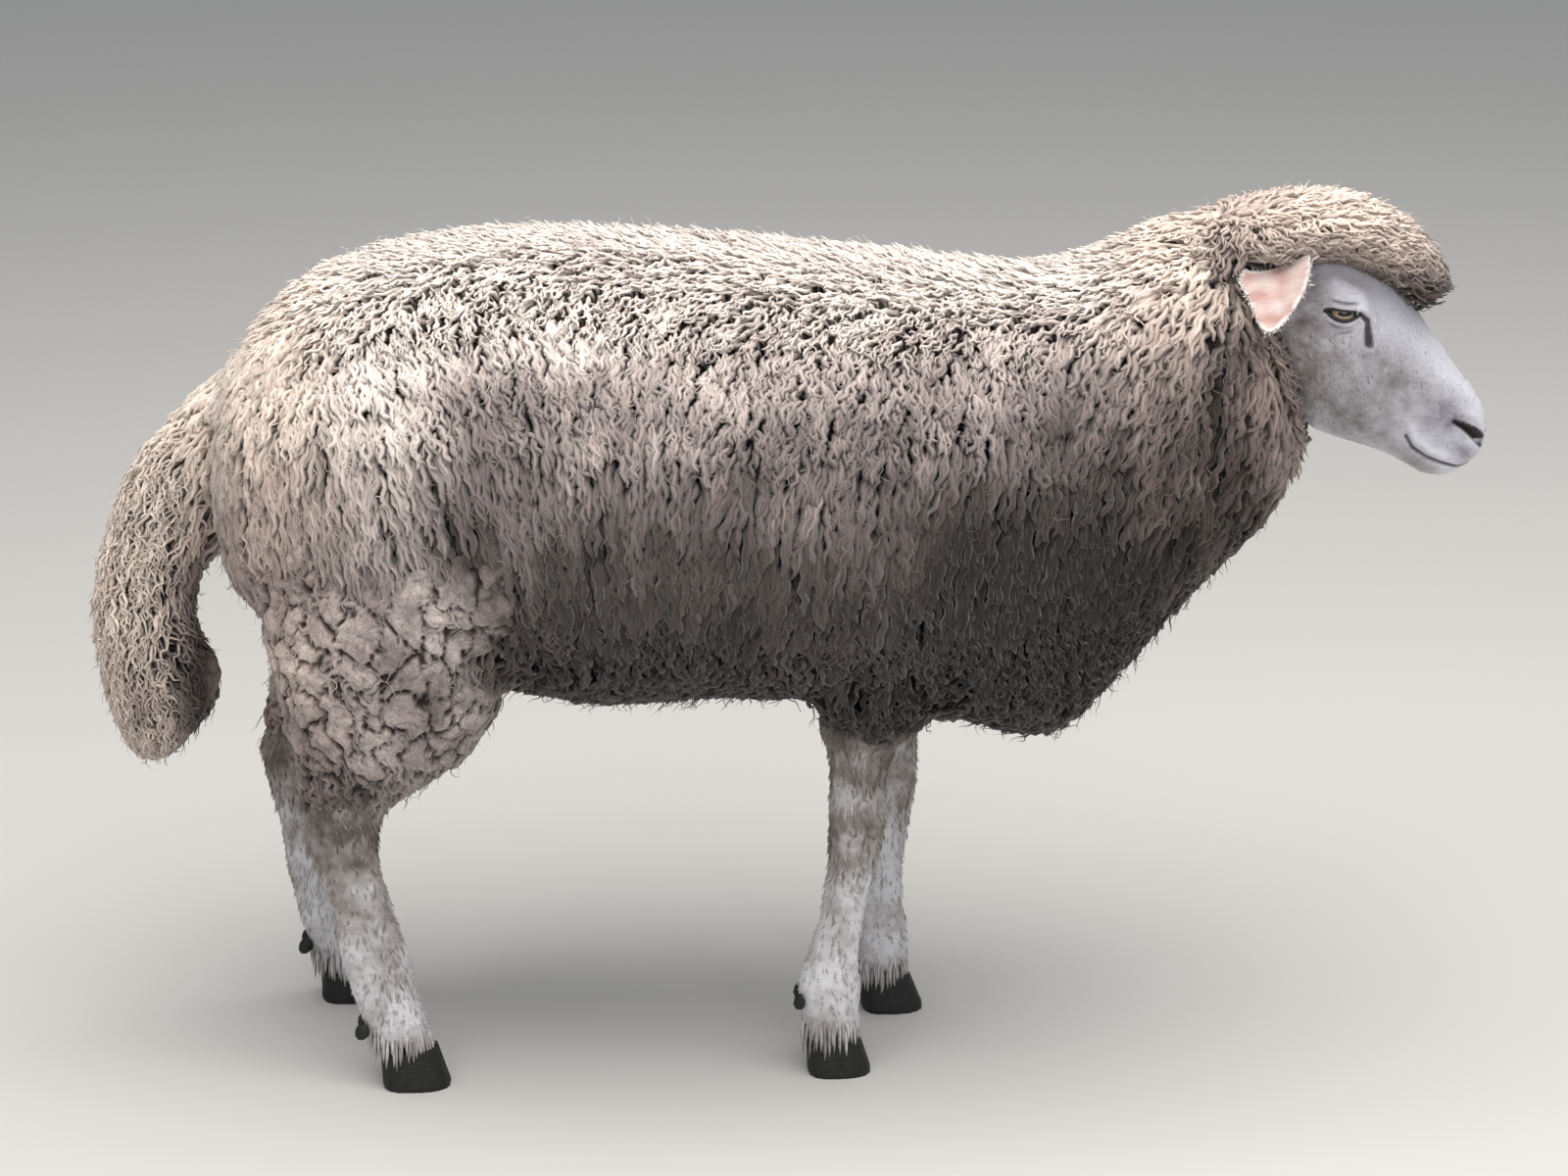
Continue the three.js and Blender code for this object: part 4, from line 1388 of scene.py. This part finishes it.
def finely_cut(chosen):
    """The chosen faces of the wool's outline, each edge cut in three."""
    used = np.unique(coat_faces[chosen])
    renumbered = np.zeros(len(coat.points), int)
    renumbered[used] = np.arange(len(used))
    mesh = bpy.data.meshes.new("stretch")
    mesh.from_pydata(coat.points[used].tolist(), [], renumbered[coat_faces[chosen]].tolist())
    bm = bmesh.new()
    bm.from_mesh(mesh)
    bpy.data.meshes.remove(mesh)
    bmesh.ops.subdivide_edges(bm, edges=bm.edges, cuts=2, use_grid_fill=True)
    points, _, faces = triangle_arrays(bm)
    return points, faces


def thick_sheet(points, normals, faces):
    """A sheet given a back and an edge. The back's points follow the front's."""
    count = len(points)
    directed = np.concatenate([faces[:, [0, 1]], faces[:, [1, 2]], faces[:, [2, 0]]])
    known = set(map(tuple, directed.tolist()))
    open_edges = np.array([e for e in directed.tolist() if (e[1], e[0]) not in known])
    a, b = open_edges.T
    wall = np.concatenate([np.stack([b, a, a + count], 1), np.stack([b, a + count, b + count], 1)])
    both = np.concatenate([points, points - normals * SHEET_THICKNESS])
    return both, np.concatenate([faces, faces[:, ::-1] + count, wall])


def map_of_sheet(points, faces, part):
    """Each corner's place on the skin's map. Faces over the map's cut keep to one side."""
    corner_part = part[faces[:, :1]].repeat(3, 1).ravel()
    on_map = unroll(points[faces.ravel()], corner_part).reshape(-1, 3, 2)
    crosses = np.ptp(on_map[..., 0], axis=1) > 0.1
    left_over = crosses[:, None] & (on_map[..., 0] < on_map[..., 0].mean(1, keepdims=True))
    on_map[..., 0] = np.where(left_over, on_map[..., 0].max(1, keepdims=True), on_map[..., 0])
    return on_map


# %% Press the plates into it
PLATE_SIZE, PLATE_CROWDING = 15 * MM, 0.42
PLATE_STRETCH = np.array([1, 1, 0.6])
PLATE_TONES, PLATE_HEIGHTS = (0.9, 1.12), (-1.6, 1.2)
PLATE_DEPTH, CRACK_DEPTH = 2.2, 5.5  # millimetres below the outline, and below that
SHEET_CRACK = 3.4 * MM
WANDERING = ((22, 8, 1.0), (8, 3, 4.0))  # lumps this wide bend the cracks this far
GRAIN = 2.0 * MM

seed_face, seed_share = scatter(coat, matted, np.full(len(coat_faces), PLATE_SIZE), PLATE_CROWDING)
plate_seeds = coat.blend(coat.points, seed_face, seed_share)
plate_tone = random.uniform(*PLATE_TONES, len(plate_seeds))
plate_rise = random.uniform(*PLATE_HEIGHTS, len(plate_seeds))
for side_name, sign in BOTH_SIDES:
    points, faces = finely_cut(touched & (coat_middle[:, 1] * sign > 0))
    _, face, share = coat.nearest(points)
    normals = unit(coat.blend(coat.normals, face, share))
    held = smoothstep(coat.blend(inner_share, face, share), 0.0, 1.0)
    wandering = 0
    for size, reach, offset in WANDERING:
        lumps = [bumps(points, size * MM, offset + axis) for axis in range(3)]
        wandering = wandering + np.stack(lumps, 1) * reach * MM
    plate, from_crack = join_staples(points + wandering, plate_seeds, PLATE_STRETCH)
    crack = 1 - smoothstep(from_crack, 0.3 * MM, SHEET_CRACK)
    curl = 1 - smoothstep(np.abs(bumps(points + wandering * 0.4, 12 * MM, 14.0)), 0, 0.2)
    rise = plate_rise[plate] * (1 - crack) + 1.5 * smoothstep(from_crack, 0, 14 * MM)
    rise += 1.5 * bumps(points, 11 * MM) + 0.8 * bumps(points, 5 * MM, 8.0) - 1.8 * curl
    rise -= PLATE_DEPTH + CRACK_DEPTH * crack + 9 * (1 - held)
    points = points + normals * (rise * MM)[:, None]
    part = coat.part[face]
    # Painted shade: darker in the cracks between plates and in the grooves of the curls; the rest of the
    # tone differs at random.
    tone = plate_tone[plate] * (1 - 0.75 * crack) * (1 - 0.35 * curl)
    tone *= 1 + 0.16 * bumps(points, 6 * MM, 5.0)
    colours = (wool_colour(points, part) * tone[:, None]).clip(0, 1)
    points, faces = thick_sheet(points, normals, faces)
    sheet = bpy.data.meshes.new("plates")
    sheet.from_pydata(points.tolist(), [], faces.tolist())
    write_attribute(sheet, "markings", np.tile(with_alpha(colours), (2, 1)))
    # Painted shade: through the finish's ramp the cracks are darkened once more.
    write_attribute(sheet, "painted_shading", np.tile(1 - crack, 2)[:, None])
    write_attribute(sheet, "strand", with_alpha(points / GRAIN))
    on_map = map_of_sheet(points, faces, np.tile(part, 2))
    sheet.uv_layers.new(name="OFBake").uv.foreach_set("vector", on_map.astype(np.float32).ravel())
    finished_piece("fleece_plates_" + side_name, sheet, fleece_finish)

# %% [markdown]
# ## Skin and ears
#
# The ears are leaves of gristle some three millimetres thick, which the voxels would have
# lost. They are smoothed from their own solids by a Subdivision Surface, and are joined to
# the skin where the wool hides their roots. So one piece stands for all the flesh.

# %% Colours of the face, legs and ears
HEAD_PATCHES = (  # a middle and radii in the head's frame, a colour and its strength
    ((45, -30, 60), (80, 66, 60), "#6a5c53", 0.95),
    ((22, 22, 60), (30, 24, 60), "#544845", 0.85),
    ((44, 2, 60), (20, 14, 60), "#5d5150", 0.7),
    ((124, -44, 40), (80, 34, 60), "#6c6461", 0.88),
    ((136, 2, 42), (62, 38, 50), "#77706f", 0.88),
    ((194, 8, 36), (34, 32, 34), "#716c78", 0.85),
    ((226, -10, 24), (20, 12, 30), "#736d77", 0.75),
    ((200, -40, 24), (34, 14, 50), "#77736f", 0.85),
    ((244, -2, 0), (12, 16, 13), "#8c7f83", 0.8),
)
FACE_WHITE, FACE_DARK = "#d3d3dd", "#20171a"


def face_colour(points):
    head, side = face_frame(points)
    colour = np.tile(linear(FACE_WHITE), (len(points), 1))
    mottle = 0.5 + 0.5 * bumps(points, 11 * MM, 2.0) + 0.35 * bumps(points, 4 * MM, 4.0)
    for middle, radii, patch, strength in HEAD_PATCHES:
        amount = ellipsoid(head, middle, radii) ** 0.6 * strength * (0.65 + 0.5 * mottle)
        colour += (linear(patch) - colour) * amount.clip(0, 1)[:, None]
    on_side = head[:, 2] > 20
    u, v, inside = lid_place(side)
    # The dark band round the opening is partly the lids' own dark edges and partly painted shadow of the
    # upper lid and its lashes.
    lid_edge_and_shadow = smoothstep(inside, np.where(v < 0, -3.4, -1.5), np.where(v < 0, -2.2, -0.6)) * on_side
    gland_away, gland_along = to_line(side, GLAND)
    gland = gland_away - 1.8 * gland_along + 0.5 * bumps(points, 5 * MM, 6.0)
    gland = (1 - smoothstep(gland, 0.8, 3.2)) * on_side
    # Painted shade inside the nostril and in the gap between the lips.
    nostril_shade = 1 - smoothstep(nostril_gap_at(head), 0, 1.6)
    mouth_shade = 0.8 * (1 - smoothstep(to_line(head[:, :2], MOUTH)[0], 0.7, 2.0))
    # Painted shade in the creases above the upper lid, under the lower lid and on the cheek.
    crease_shade = soft(v - LID_CREASE - 0.01 * u**2, 1.1) + 0.7 * soft(v - POUCH_CREASE - 0.02 * u**2, 1.0)
    crease_shade += 0.5 * soft(v - CHEEK_CREASE - 0.02 * u**2, 1.0) * smoothstep(u, -8, 4)
    crease_shade = 0.55 * crease_shade * smoothstep(14 - np.abs(u), 0, 6) * on_side * (np.abs(v) < 24)
    dark = np.max([lid_edge_and_shadow, 0.9 * gland, nostril_shade, mouth_shade, crease_shade.clip(0, 1)], axis=0)
    return colour + (linear(FACE_DARK) - colour) * dark[:, None]


LEG_STOPS = ((0, "#dcdce0"), (0.4, "#b9b6b8"), (0.75, "#8a817c"), (1, "#5d534e"))


def leg_colour(points, part):
    z = points[:, 2] / MM
    hind = part_of(part, "hindleg")
    joint = np.where(hind, 236, 226)
    # Darker round the knee or hock, towards the wool above, higher up the hind legs, and in a band just
    # above the hoof, with random patches.
    leg_darkening = 0.18 + 0.5 * soft(z - joint, 36) + 0.8 * smoothstep(z, 245, 305)
    leg_darkening += 0.2 * hind * smoothstep(z, 90, 150)
    leg_darkening += 0.35 * soft(z - 40, 12)
    leg_darkening += 0.3 * bumps(points, 26 * MM) + 0.18 * bumps(points, 7 * MM, 3.0)
    return palette(leg_darkening.clip(0, 1), LEG_STOPS)


def skin_colour(points, part):
    """What any point of the skin or of its short hair is coloured, under wool too."""
    legs = part_of(part, "foreleg", "hindleg")
    face = part_of(part, "head", "lower_jaw")
    # Under the wool the skin is painted at 0.4 of the wool's colour, as painted shade of the dense coat
    # over it.
    colour = wool_colour(points, part) * 0.4
    bare_leg = (1 - smoothstep(points[:, 2], 315 * MM, 345 * MM))[:, None] * legs[:, None]
    colour = colour + (leg_colour(points, part) - colour) * bare_leg
    return np.where(face[:, None], face_colour(points), colour)


# %% The ears
EAR_LEVELS = 2
EAR_INSIDE = unit(np.array([-0.29, 0.48, 0.81]))  # the left ear's hollow side looks this way
EAR_PINK, EAR_WHITE = "#b8928c", "#e2dcd8"
EAR_CUP = 3.5 * MM
ears = {}
for side_name, sign in BOTH_SIDES:
    ear = modified(merged("ear_" + side_name), "SUBSURF", levels=EAR_LEVELS, render_levels=EAR_LEVELS)
    ear_points, _, ear_faces = triangle_arrays(ear)
    normals = vertex_normals(ear_points, ear_faces) * [1, sign, 1]
    looks = EAR_INSIDE * [1, sign, 1]
    away = ear_points - ear_points.mean(0)
    away -= (away @ looks)[:, None] * looks
    middle = 1 - (np.linalg.norm(away, axis=1) / np.linalg.norm(away, axis=1).max()) ** 2
    ear_points = ear_points - looks * (EAR_CUP * middle)[:, None]
    hollow = smoothstep(normals @ EAR_INSIDE, 0.45, 0.8)[:, None]
    pink = hollow * (0.75 + 0.35 * bumps(ear_points, 14 * MM)).clip(0, 1)[:, None]
    rim = ear_points[np.abs(normals @ EAR_INSIDE) < 0.5]
    from_rim = np.array([np.linalg.norm(rim - place, axis=1).min() for place in ear_points])
    pink *= smoothstep(from_rim, 1.5 * MM, 5 * MM)[:, None]
    tones = linear(EAR_WHITE) + (linear(EAR_PINK) - linear(EAR_WHITE)) * pink
    ears[side_name] = (ear_points, ear_faces, tones)
print(f"ears: {len(ear_faces)} triangles each")

# %% [markdown]
# ## Short hair, as a finish
#
# The face and shins wear hair a few millimetres long that lies flat. Most of it is too fine
# to be modelled, so it is a finish: streaks of lighter and darker hair that run one way
# everywhere, about along the head, with a little bump. Tufts come later, where hair breaks the outline.

# %% Short hair over skin
HAIR_SPACING, HAIR_RUN = 1.1 * MM, 6 * MM


def short_hair(name):
    """Fine hair that lies flat: streaks that run one way, about along the head, with a faint sheen."""
    finish, tree, shader = new_finish(name)
    place = add(tree, "ShaderNodeTexCoord").outputs["Object"]
    colour = add(tree, "ShaderNodeAttribute", {"attribute_name": "markings"}).outputs["Color"]
    turned = add(
        tree,
        "ShaderNodeMapping",
        {"Rotation": (0, HEAD_SLOPE, 0), "Scale": (HAIR_SPACING / HAIR_RUN, 1, 1)},
        {"Vector": place},
    ).outputs[0]
    streaks = add(
        tree, "ShaderNodeTexNoise", {"Scale": 0.5 / HAIR_SPACING, "Detail": 3}, {"Vector": turned}
    ).outputs["Fac"]
    uneven = add(
        tree, "ShaderNodeMapRange", {"To Min": 0.72, "To Max": 1.22}, {"Value": streaks}
    ).outputs[0]
    mixed = add(tree, "ShaderNodeMixRGB", MULTIPLY, {"Color1": colour, "Color2": uneven})
    relief = add(
        tree, "ShaderNodeBump", {"Strength": 0.35, "Distance": 0.6 * MM}, {"Height": streaks}
    )
    tree.links.new(mixed.outputs[0], shader.inputs["Base Color"])
    tree.links.new(relief.outputs[0], shader.inputs["Normal"])
    shader.inputs["Roughness"].default_value = 0.7
    shader.inputs["Specular IOR Level"].default_value = 0.3
    shader.inputs["Sheen Weight"].default_value = 0.2
    return finish


hair_finish = short_hair("short_hair_over_skin")


def mesh_piece(name, points, faces, colours, finish, slot):
    """A piece from arrays of points and triangles, with a colour for each point, or None."""
    mesh = bpy.data.meshes.new(name)
    mesh.from_pydata(points.tolist(), [], faces.tolist())
    if colours is not None:
        write_attribute(mesh, "markings", with_alpha(colours))
    return finished_piece(name, mesh, finish)


# %% One skin over all the flesh
skin_tones = skin_colour(skin_points, hull_part)
all_points, all_faces, all_tones = [skin_points], [hull_faces], [skin_tones]
for ear_points, ear_faces, tones in ears.values():
    all_faces.append(ear_faces + sum(len(p) for p in all_points))
    all_points.append(ear_points)
    all_tones.append(tones)
joined = [np.concatenate(arrays) for arrays in (all_points, all_faces, all_tones)]
skin_piece = mesh_piece("skin", *joined, hair_finish, "face_hair")
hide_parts(*FLESH, "ear_right", "ear_left")

# %% [markdown]
# ## Eyes
#
# A sheep's eye is a glossy ball with a yellow-brown iris and a level, slot-shaped pupil. Only
# a strip of it shows between the lids. The pattern is drawn from the distance to the eye's
# middle, and Y is folded over, so that one finish serves both eyes.

# %% Eyeball finish and eyes
PUPIL_HALF = Vector((6.2 * MM, 20 * MM, 2.3 * MM))
PUPIL_MIDDLE = Vector((EYE["right"].x, 0, EYE["right"].z + 1.4 * MM))


def wet_eye(name):
    """A dark slot of a pupil in a pale iris, under a clear wet coat that mirrors the sky."""
    finish, tree, shader = new_finish(name)
    place = add(tree, "ShaderNodeTexCoord").outputs["Object"]
    centred = add(
        tree, "ShaderNodeVectorMath", {"operation": "SUBTRACT", 1: PUPIL_MIDDLE}, {0: place}
    ).outputs[0]
    sized = add(
        tree, "ShaderNodeVectorMath", {"operation": "DIVIDE", 1: PUPIL_HALF}, {0: centred}
    ).outputs[0]
    flat = add(
        tree, "ShaderNodeVectorMath", {"operation": "MULTIPLY", 1: (1, 0, 1)}, {0: sized}
    ).outputs[0]
    reach = add(tree, "ShaderNodeVectorMath", {"operation": "LENGTH"}, {0: flat}).outputs["Value"]
    iris = add(tree, "ShaderNodeValToRGB", (), {"Fac": reach})
    paint_ramp(iris, ((0.9, "#070506"), (1.0, "#a3927a")))
    tree.links.new(iris.outputs["Color"], shader.inputs["Base Color"])
    shader.inputs["Roughness"].default_value = 0.08
    shader.inputs["Coat Weight"].default_value = 0.6
    return finish


eye_finish = wet_eye("wet_eyeball")
for side_name, _ in BOTH_SIDES:
    bm = bmesh.new()
    bmesh.ops.create_uvsphere(bm, u_segments=40, v_segments=28, radius=EYE_RADIUS)
    bmesh.ops.rotate(bm, matrix=Matrix.Rotation(math.pi / 2, 3, "X"), verts=bm.verts)
    bmesh.ops.translate(bm, vec=EYE[side_name], verts=bm.verts)
    points, _, faces = triangle_arrays(bm)
    piece = mesh_piece("eyeball_" + side_name, points, faces, None, eye_finish, "eye")
    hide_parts("eye_" + side_name)

# %% [markdown]
# ## Hooves and dewclaws
#
# Horn grows down from the coronet in faint rings and wears flat below. Each solid is wrapped
# in fine voxels and smoothed, which rounds its corners as wear does, and the sole is then set
# back on the floor.

# %% Horn
RING_SPACING = 3 * MM
HORN_VOXEL = 1.6 * MM
HORN_ROUNDS = 8
WORN_FLAT = 0.8 * MM  # what is lower than this is the sole


def hoof_horn(name):
    """Nearly black horn, worn dull, with faint rings of growth that catch a little light."""
    finish, tree, shader = new_finish(name)
    place = add(tree, "ShaderNodeTexCoord").outputs["Object"]
    blotches = {"Scale": 0.6 / RING_SPACING, "Detail": 4}
    grain = add(tree, "ShaderNodeTexNoise", blotches, {"Vector": place})
    rings_of_growth = add(
        tree,
        "ShaderNodeTexWave",
        {"bands_direction": "Z", "Scale": 0.3 / RING_SPACING, "Distortion": 2.0, "Detail": 2},
        {"Vector": place},
    ).outputs["Fac"]
    tone = add(tree, "ShaderNodeValToRGB", (), {"Fac": grain.outputs["Fac"]})
    paint_ramp(tone, ((0.3, "#070908"), (0.75, "#1c1f1c")))
    relief = add(
        tree, "ShaderNodeBump", {"Strength": 0.4, "Distance": 0.5 * MM}, {"Height": rings_of_growth}
    )
    tree.links.new(tone.outputs["Color"], shader.inputs["Base Color"])
    tree.links.new(relief.outputs[0], shader.inputs["Normal"])
    shader.inputs["Roughness"].default_value = 0.65
    return finish


horn_finish = hoof_horn("hoof_horn")
for name in [n for n in nodes if "hoof" in n or "dewclaw" in n]:
    points, edges, faces = triangle_arrays(wrapped(merged(name), HORN_VOXEL))
    points = smooth_verts(points, edges, np.ones(len(points)), HORN_ROUNDS)
    points[:, 2] = np.where(points[:, 2] < WORN_FLAT, 0, points[:, 2])
    piece = mesh_piece(name + "_horn", points, faces, None, horn_finish, "hoof_horn")
    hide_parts(name)

# %% [markdown]
# ## Lid rims
#
# The edges of the lids are bare, wet and nearly black, and stand proud like piping. Each is a
# tube round the opening, dropped onto the skin just outside it.

# %% Piping round the eyes
def moist_skin(name, tone):
    """Bare dark skin with a soft wet shine, which draws the eye's edge."""
    finish, _, shader = new_finish(name)
    shader.inputs["Base Color"].default_value = (*linear(tone), 1)
    shader.inputs["Roughness"].default_value = 0.35
    return finish


RIM_POINTS, RIM_SIDES = 56, 8
RIM_RADIUS, RIM_GAP = 1.25, 0.7  # millimetres
rim_finish = moist_skin("moist_dark_skin", "#15100f")


def rim_line(sign):
    """A closed line on the skin, just outside the opening between the lids."""
    angle = np.linspace(0, 2 * math.pi, RIM_POINTS, endpoint=False)
    rise = np.sin(angle)
    lift = np.where(rise > 0, LID["upper"] * np.abs(rise) ** 1.2, -LID["lower"] * np.abs(rise) ** 1.6)
    u = (LID["half"] + RIM_GAP) * np.cos(angle)
    v = lift + RIM_GAP * rise
    x = LID["x"] + u * math.cos(LID_TURN) + v * math.sin(LID_TURN)
    z = LID["z"] - u * math.sin(LID_TURN) + v * math.cos(LID_TURN)
    middle = []
    for place_x, place_z in zip((x + eye_middle[0]) * MM, (z + eye_middle[2]) * MM):
        hit = skin.tree.ray_cast(Vector((place_x, sign * 0.3, place_z)), Vector((0, -sign, 0)))
        middle.append(hit[0])
    middle = np.array(middle)
    for _ in range(4):
        middle[:, 1] = (np.roll(middle[:, 1], 1) + 2 * middle[:, 1] + np.roll(middle[:, 1], -1)) / 4
    return middle


def lid_rim(sign):
    """Points and faces of a closed tube along the rim's line."""
    middle = rim_line(sign)
    along = unit(np.roll(middle, -1, 0) - np.roll(middle, 1, 0))
    out = np.array([0, sign, 0]) * np.ones((RIM_POINTS, 1))
    aside = unit(np.cross(along, out))
    rings = []
    for turn in np.linspace(0, 2 * math.pi, RIM_SIDES, endpoint=False):
        rings.append(middle + (aside * math.cos(turn) + out * math.sin(turn)) * RIM_RADIUS * MM)
    points = np.stack(rings, 1).reshape(-1, 3)
    faces = []
    for i in range(RIM_POINTS):
        for k in range(RIM_SIDES):
            a, b = i * RIM_SIDES + k, i * RIM_SIDES + (k + 1) % RIM_SIDES
            c, d = ((i + 1) % RIM_POINTS * RIM_SIDES + j for j in ((k + 1) % RIM_SIDES, k))
            faces += [(a, b, c), (a, c, d)]
    bm = bmesh.new()
    verts = [bm.verts.new(p) for p in points]
    for face in faces:
        bm.faces.new([verts[i] for i in face])
    bmesh.ops.recalc_face_normals(bm, faces=bm.faces)
    points, _, faces = triangle_arrays(bm)
    return points, faces


for side_name, sign in BOTH_SIDES:
    mesh_piece("lid_rim_" + side_name, *lid_rim(sign), None, rim_finish, "eye")

# %% [markdown]
# ## Short hair, where it breaks the outline
#
# Face and legs get small flat tufts over the finish, so that their outline is soft and light
# catches single hairs. They lie forwards and down the face, straight down the legs, and out
# over the rim of the ear. At the coronet they hang over the top of the hoof.

# %% Tufts on the face
HAIR_STEPS = 3
tuft_finish = raw_wool("short_hair_in_tufts", "#eeeae6", 0.3)


def lie_of_face(points, normals, part):
    return np.tile(ALONG * 0.5 + np.array([0, 0, -0.8]), (len(points), 1))


skin_middle = skin_points[hull_faces].mean(1)
head, side = face_frame(skin_middle)
u, v, inside = lid_place(side)
on_flank = head[:, 2] > 20
bare = (inside > -4.2) & on_flank & (np.abs(u) < 20)
bare |= nostril_gap_at(head) < 2.5
bare |= to_line(head[:, :2], MOUTH)[0] < 2.0
bare |= (to_line(side, GLAND)[0] < 4.0) & on_flank
on_face = part_of(hull.part, "head", "lower_jaw") & (behind_ear(skin_middle) < 0.5)
hair_face = on_face & ~bare & (outside_of(coat, skin_middle) > -2.5 * MM)
face_hair = lay_locks(skin, hair_face, all_of_kind(skin, "face"), lie_of_face, steps=HAIR_STEPS)
every = np.ones(len(face_hair["roots"]), bool)
dressed_hair = dress_locks(face_hair, skin_colour(face_hair["roots"], face_hair["part"]))
coat_piece("face_hair", dressed_hair, every, tuft_finish)

# %% Tufts on the legs
CORONET = 62 * MM  # below this height the hair hangs free over the hoof
CORONET_REACH = 24 * MM
LEG_HAIR_DEPTH = 9 * MM  # where the coat is deeper than this, it is wool


def lie_of_legs(points, normals, part):
    return np.tile(np.array([0.05, 0, -1.0]), (len(points), 1))


on_legs = part_of(hull.part, "foreleg", "hindleg")
hair_leg = on_legs & (depth[hull_faces].mean(1) < LEG_HAIR_DEPTH) & (skin_middle[:, 2] < LEG_HAIR_TOP)
hair_leg &= skin.normals[hull_faces[:, 0], 2] > -0.6
leg_hair = lay_locks(skin, hair_leg, all_of_kind(skin, "leg"), lie_of_legs, steps=HAIR_STEPS)

# %% Hair that hangs free at the coronet
roots = leg_hair["roots"]
t = np.linspace(0, 1, HAIR_STEPS + 1)
outward = unit(leg_hair["normals"][:, 0] * [1, 1, 0])
fall = random.uniform(0.7, 1.2, (len(roots), 1)) * CORONET_REACH * t
free = roots[:, None] + outward[:, None] * (2.2 * MM * np.sqrt(t))[:, None]
free = free - fall[..., None] * np.array([0, 0, 1])
hanging = (1 - smoothstep(roots[:, 2], CORONET - 10 * MM, CORONET))[:, None, None]
leg_hair["path"] = leg_hair["path"] * (1 - hanging) + free * hanging
leg_hair["normals"] = unit(leg_hair["normals"] * (1 - hanging) + outward[:, None] * hanging)
dressed_hair = dress_locks(leg_hair, skin_colour(roots, leg_hair["part"]))
for name in ("foreleg", "hindleg"):
    coat_piece(name + "_hair", dressed_hair, part_of(leg_hair["part"], name), tuft_finish)

# %% Tufts on the ears
for side_name, sign in BOTH_SIDES:
    ear_points, ear_faces, _ = ears[side_name]
    ear = Surface(ear_points, ear_faces, np.full(len(ear_faces), FLESH.index("head")))
    looks = EAR_INSIDE * [1, sign, 1]
    middle = ear_points.mean(0)

    def lie_of_ear(points, normals, part):
        away = points - middle
        return unit(away - (away @ looks)[:, None] * looks)

    hairy = ear.normals[ear_faces[:, 0]] @ looks < 0.6
    ear_hair = lay_locks(ear, hairy, all_of_kind(ear, "ear"), lie_of_ear, steps=HAIR_STEPS)
    t = np.linspace(0, 1, HAIR_STEPS + 1)[:, None]
    roots = ear_hair["roots"][:, None]
    out = lie_of_ear(ear_hair["roots"], None, None)[:, None]
    rim = 1 - np.abs(ear_hair["normals"][:, 0] @ looks)[:, None, None]
    straight = roots + out * t * random.uniform(7, 14, (len(roots), 1, 1)) * MM
    ear_hair["path"] = ear_hair["path"] * (1 - rim) + straight * rim
    tones = np.tile(linear(EAR_WHITE), (len(roots), 1))
    dressed_hair = dress_locks(ear_hair, tones)
    every = np.ones(len(roots), bool)
    coat_piece(f"ear_hair_{side_name}", dressed_hair, every, tuft_finish)
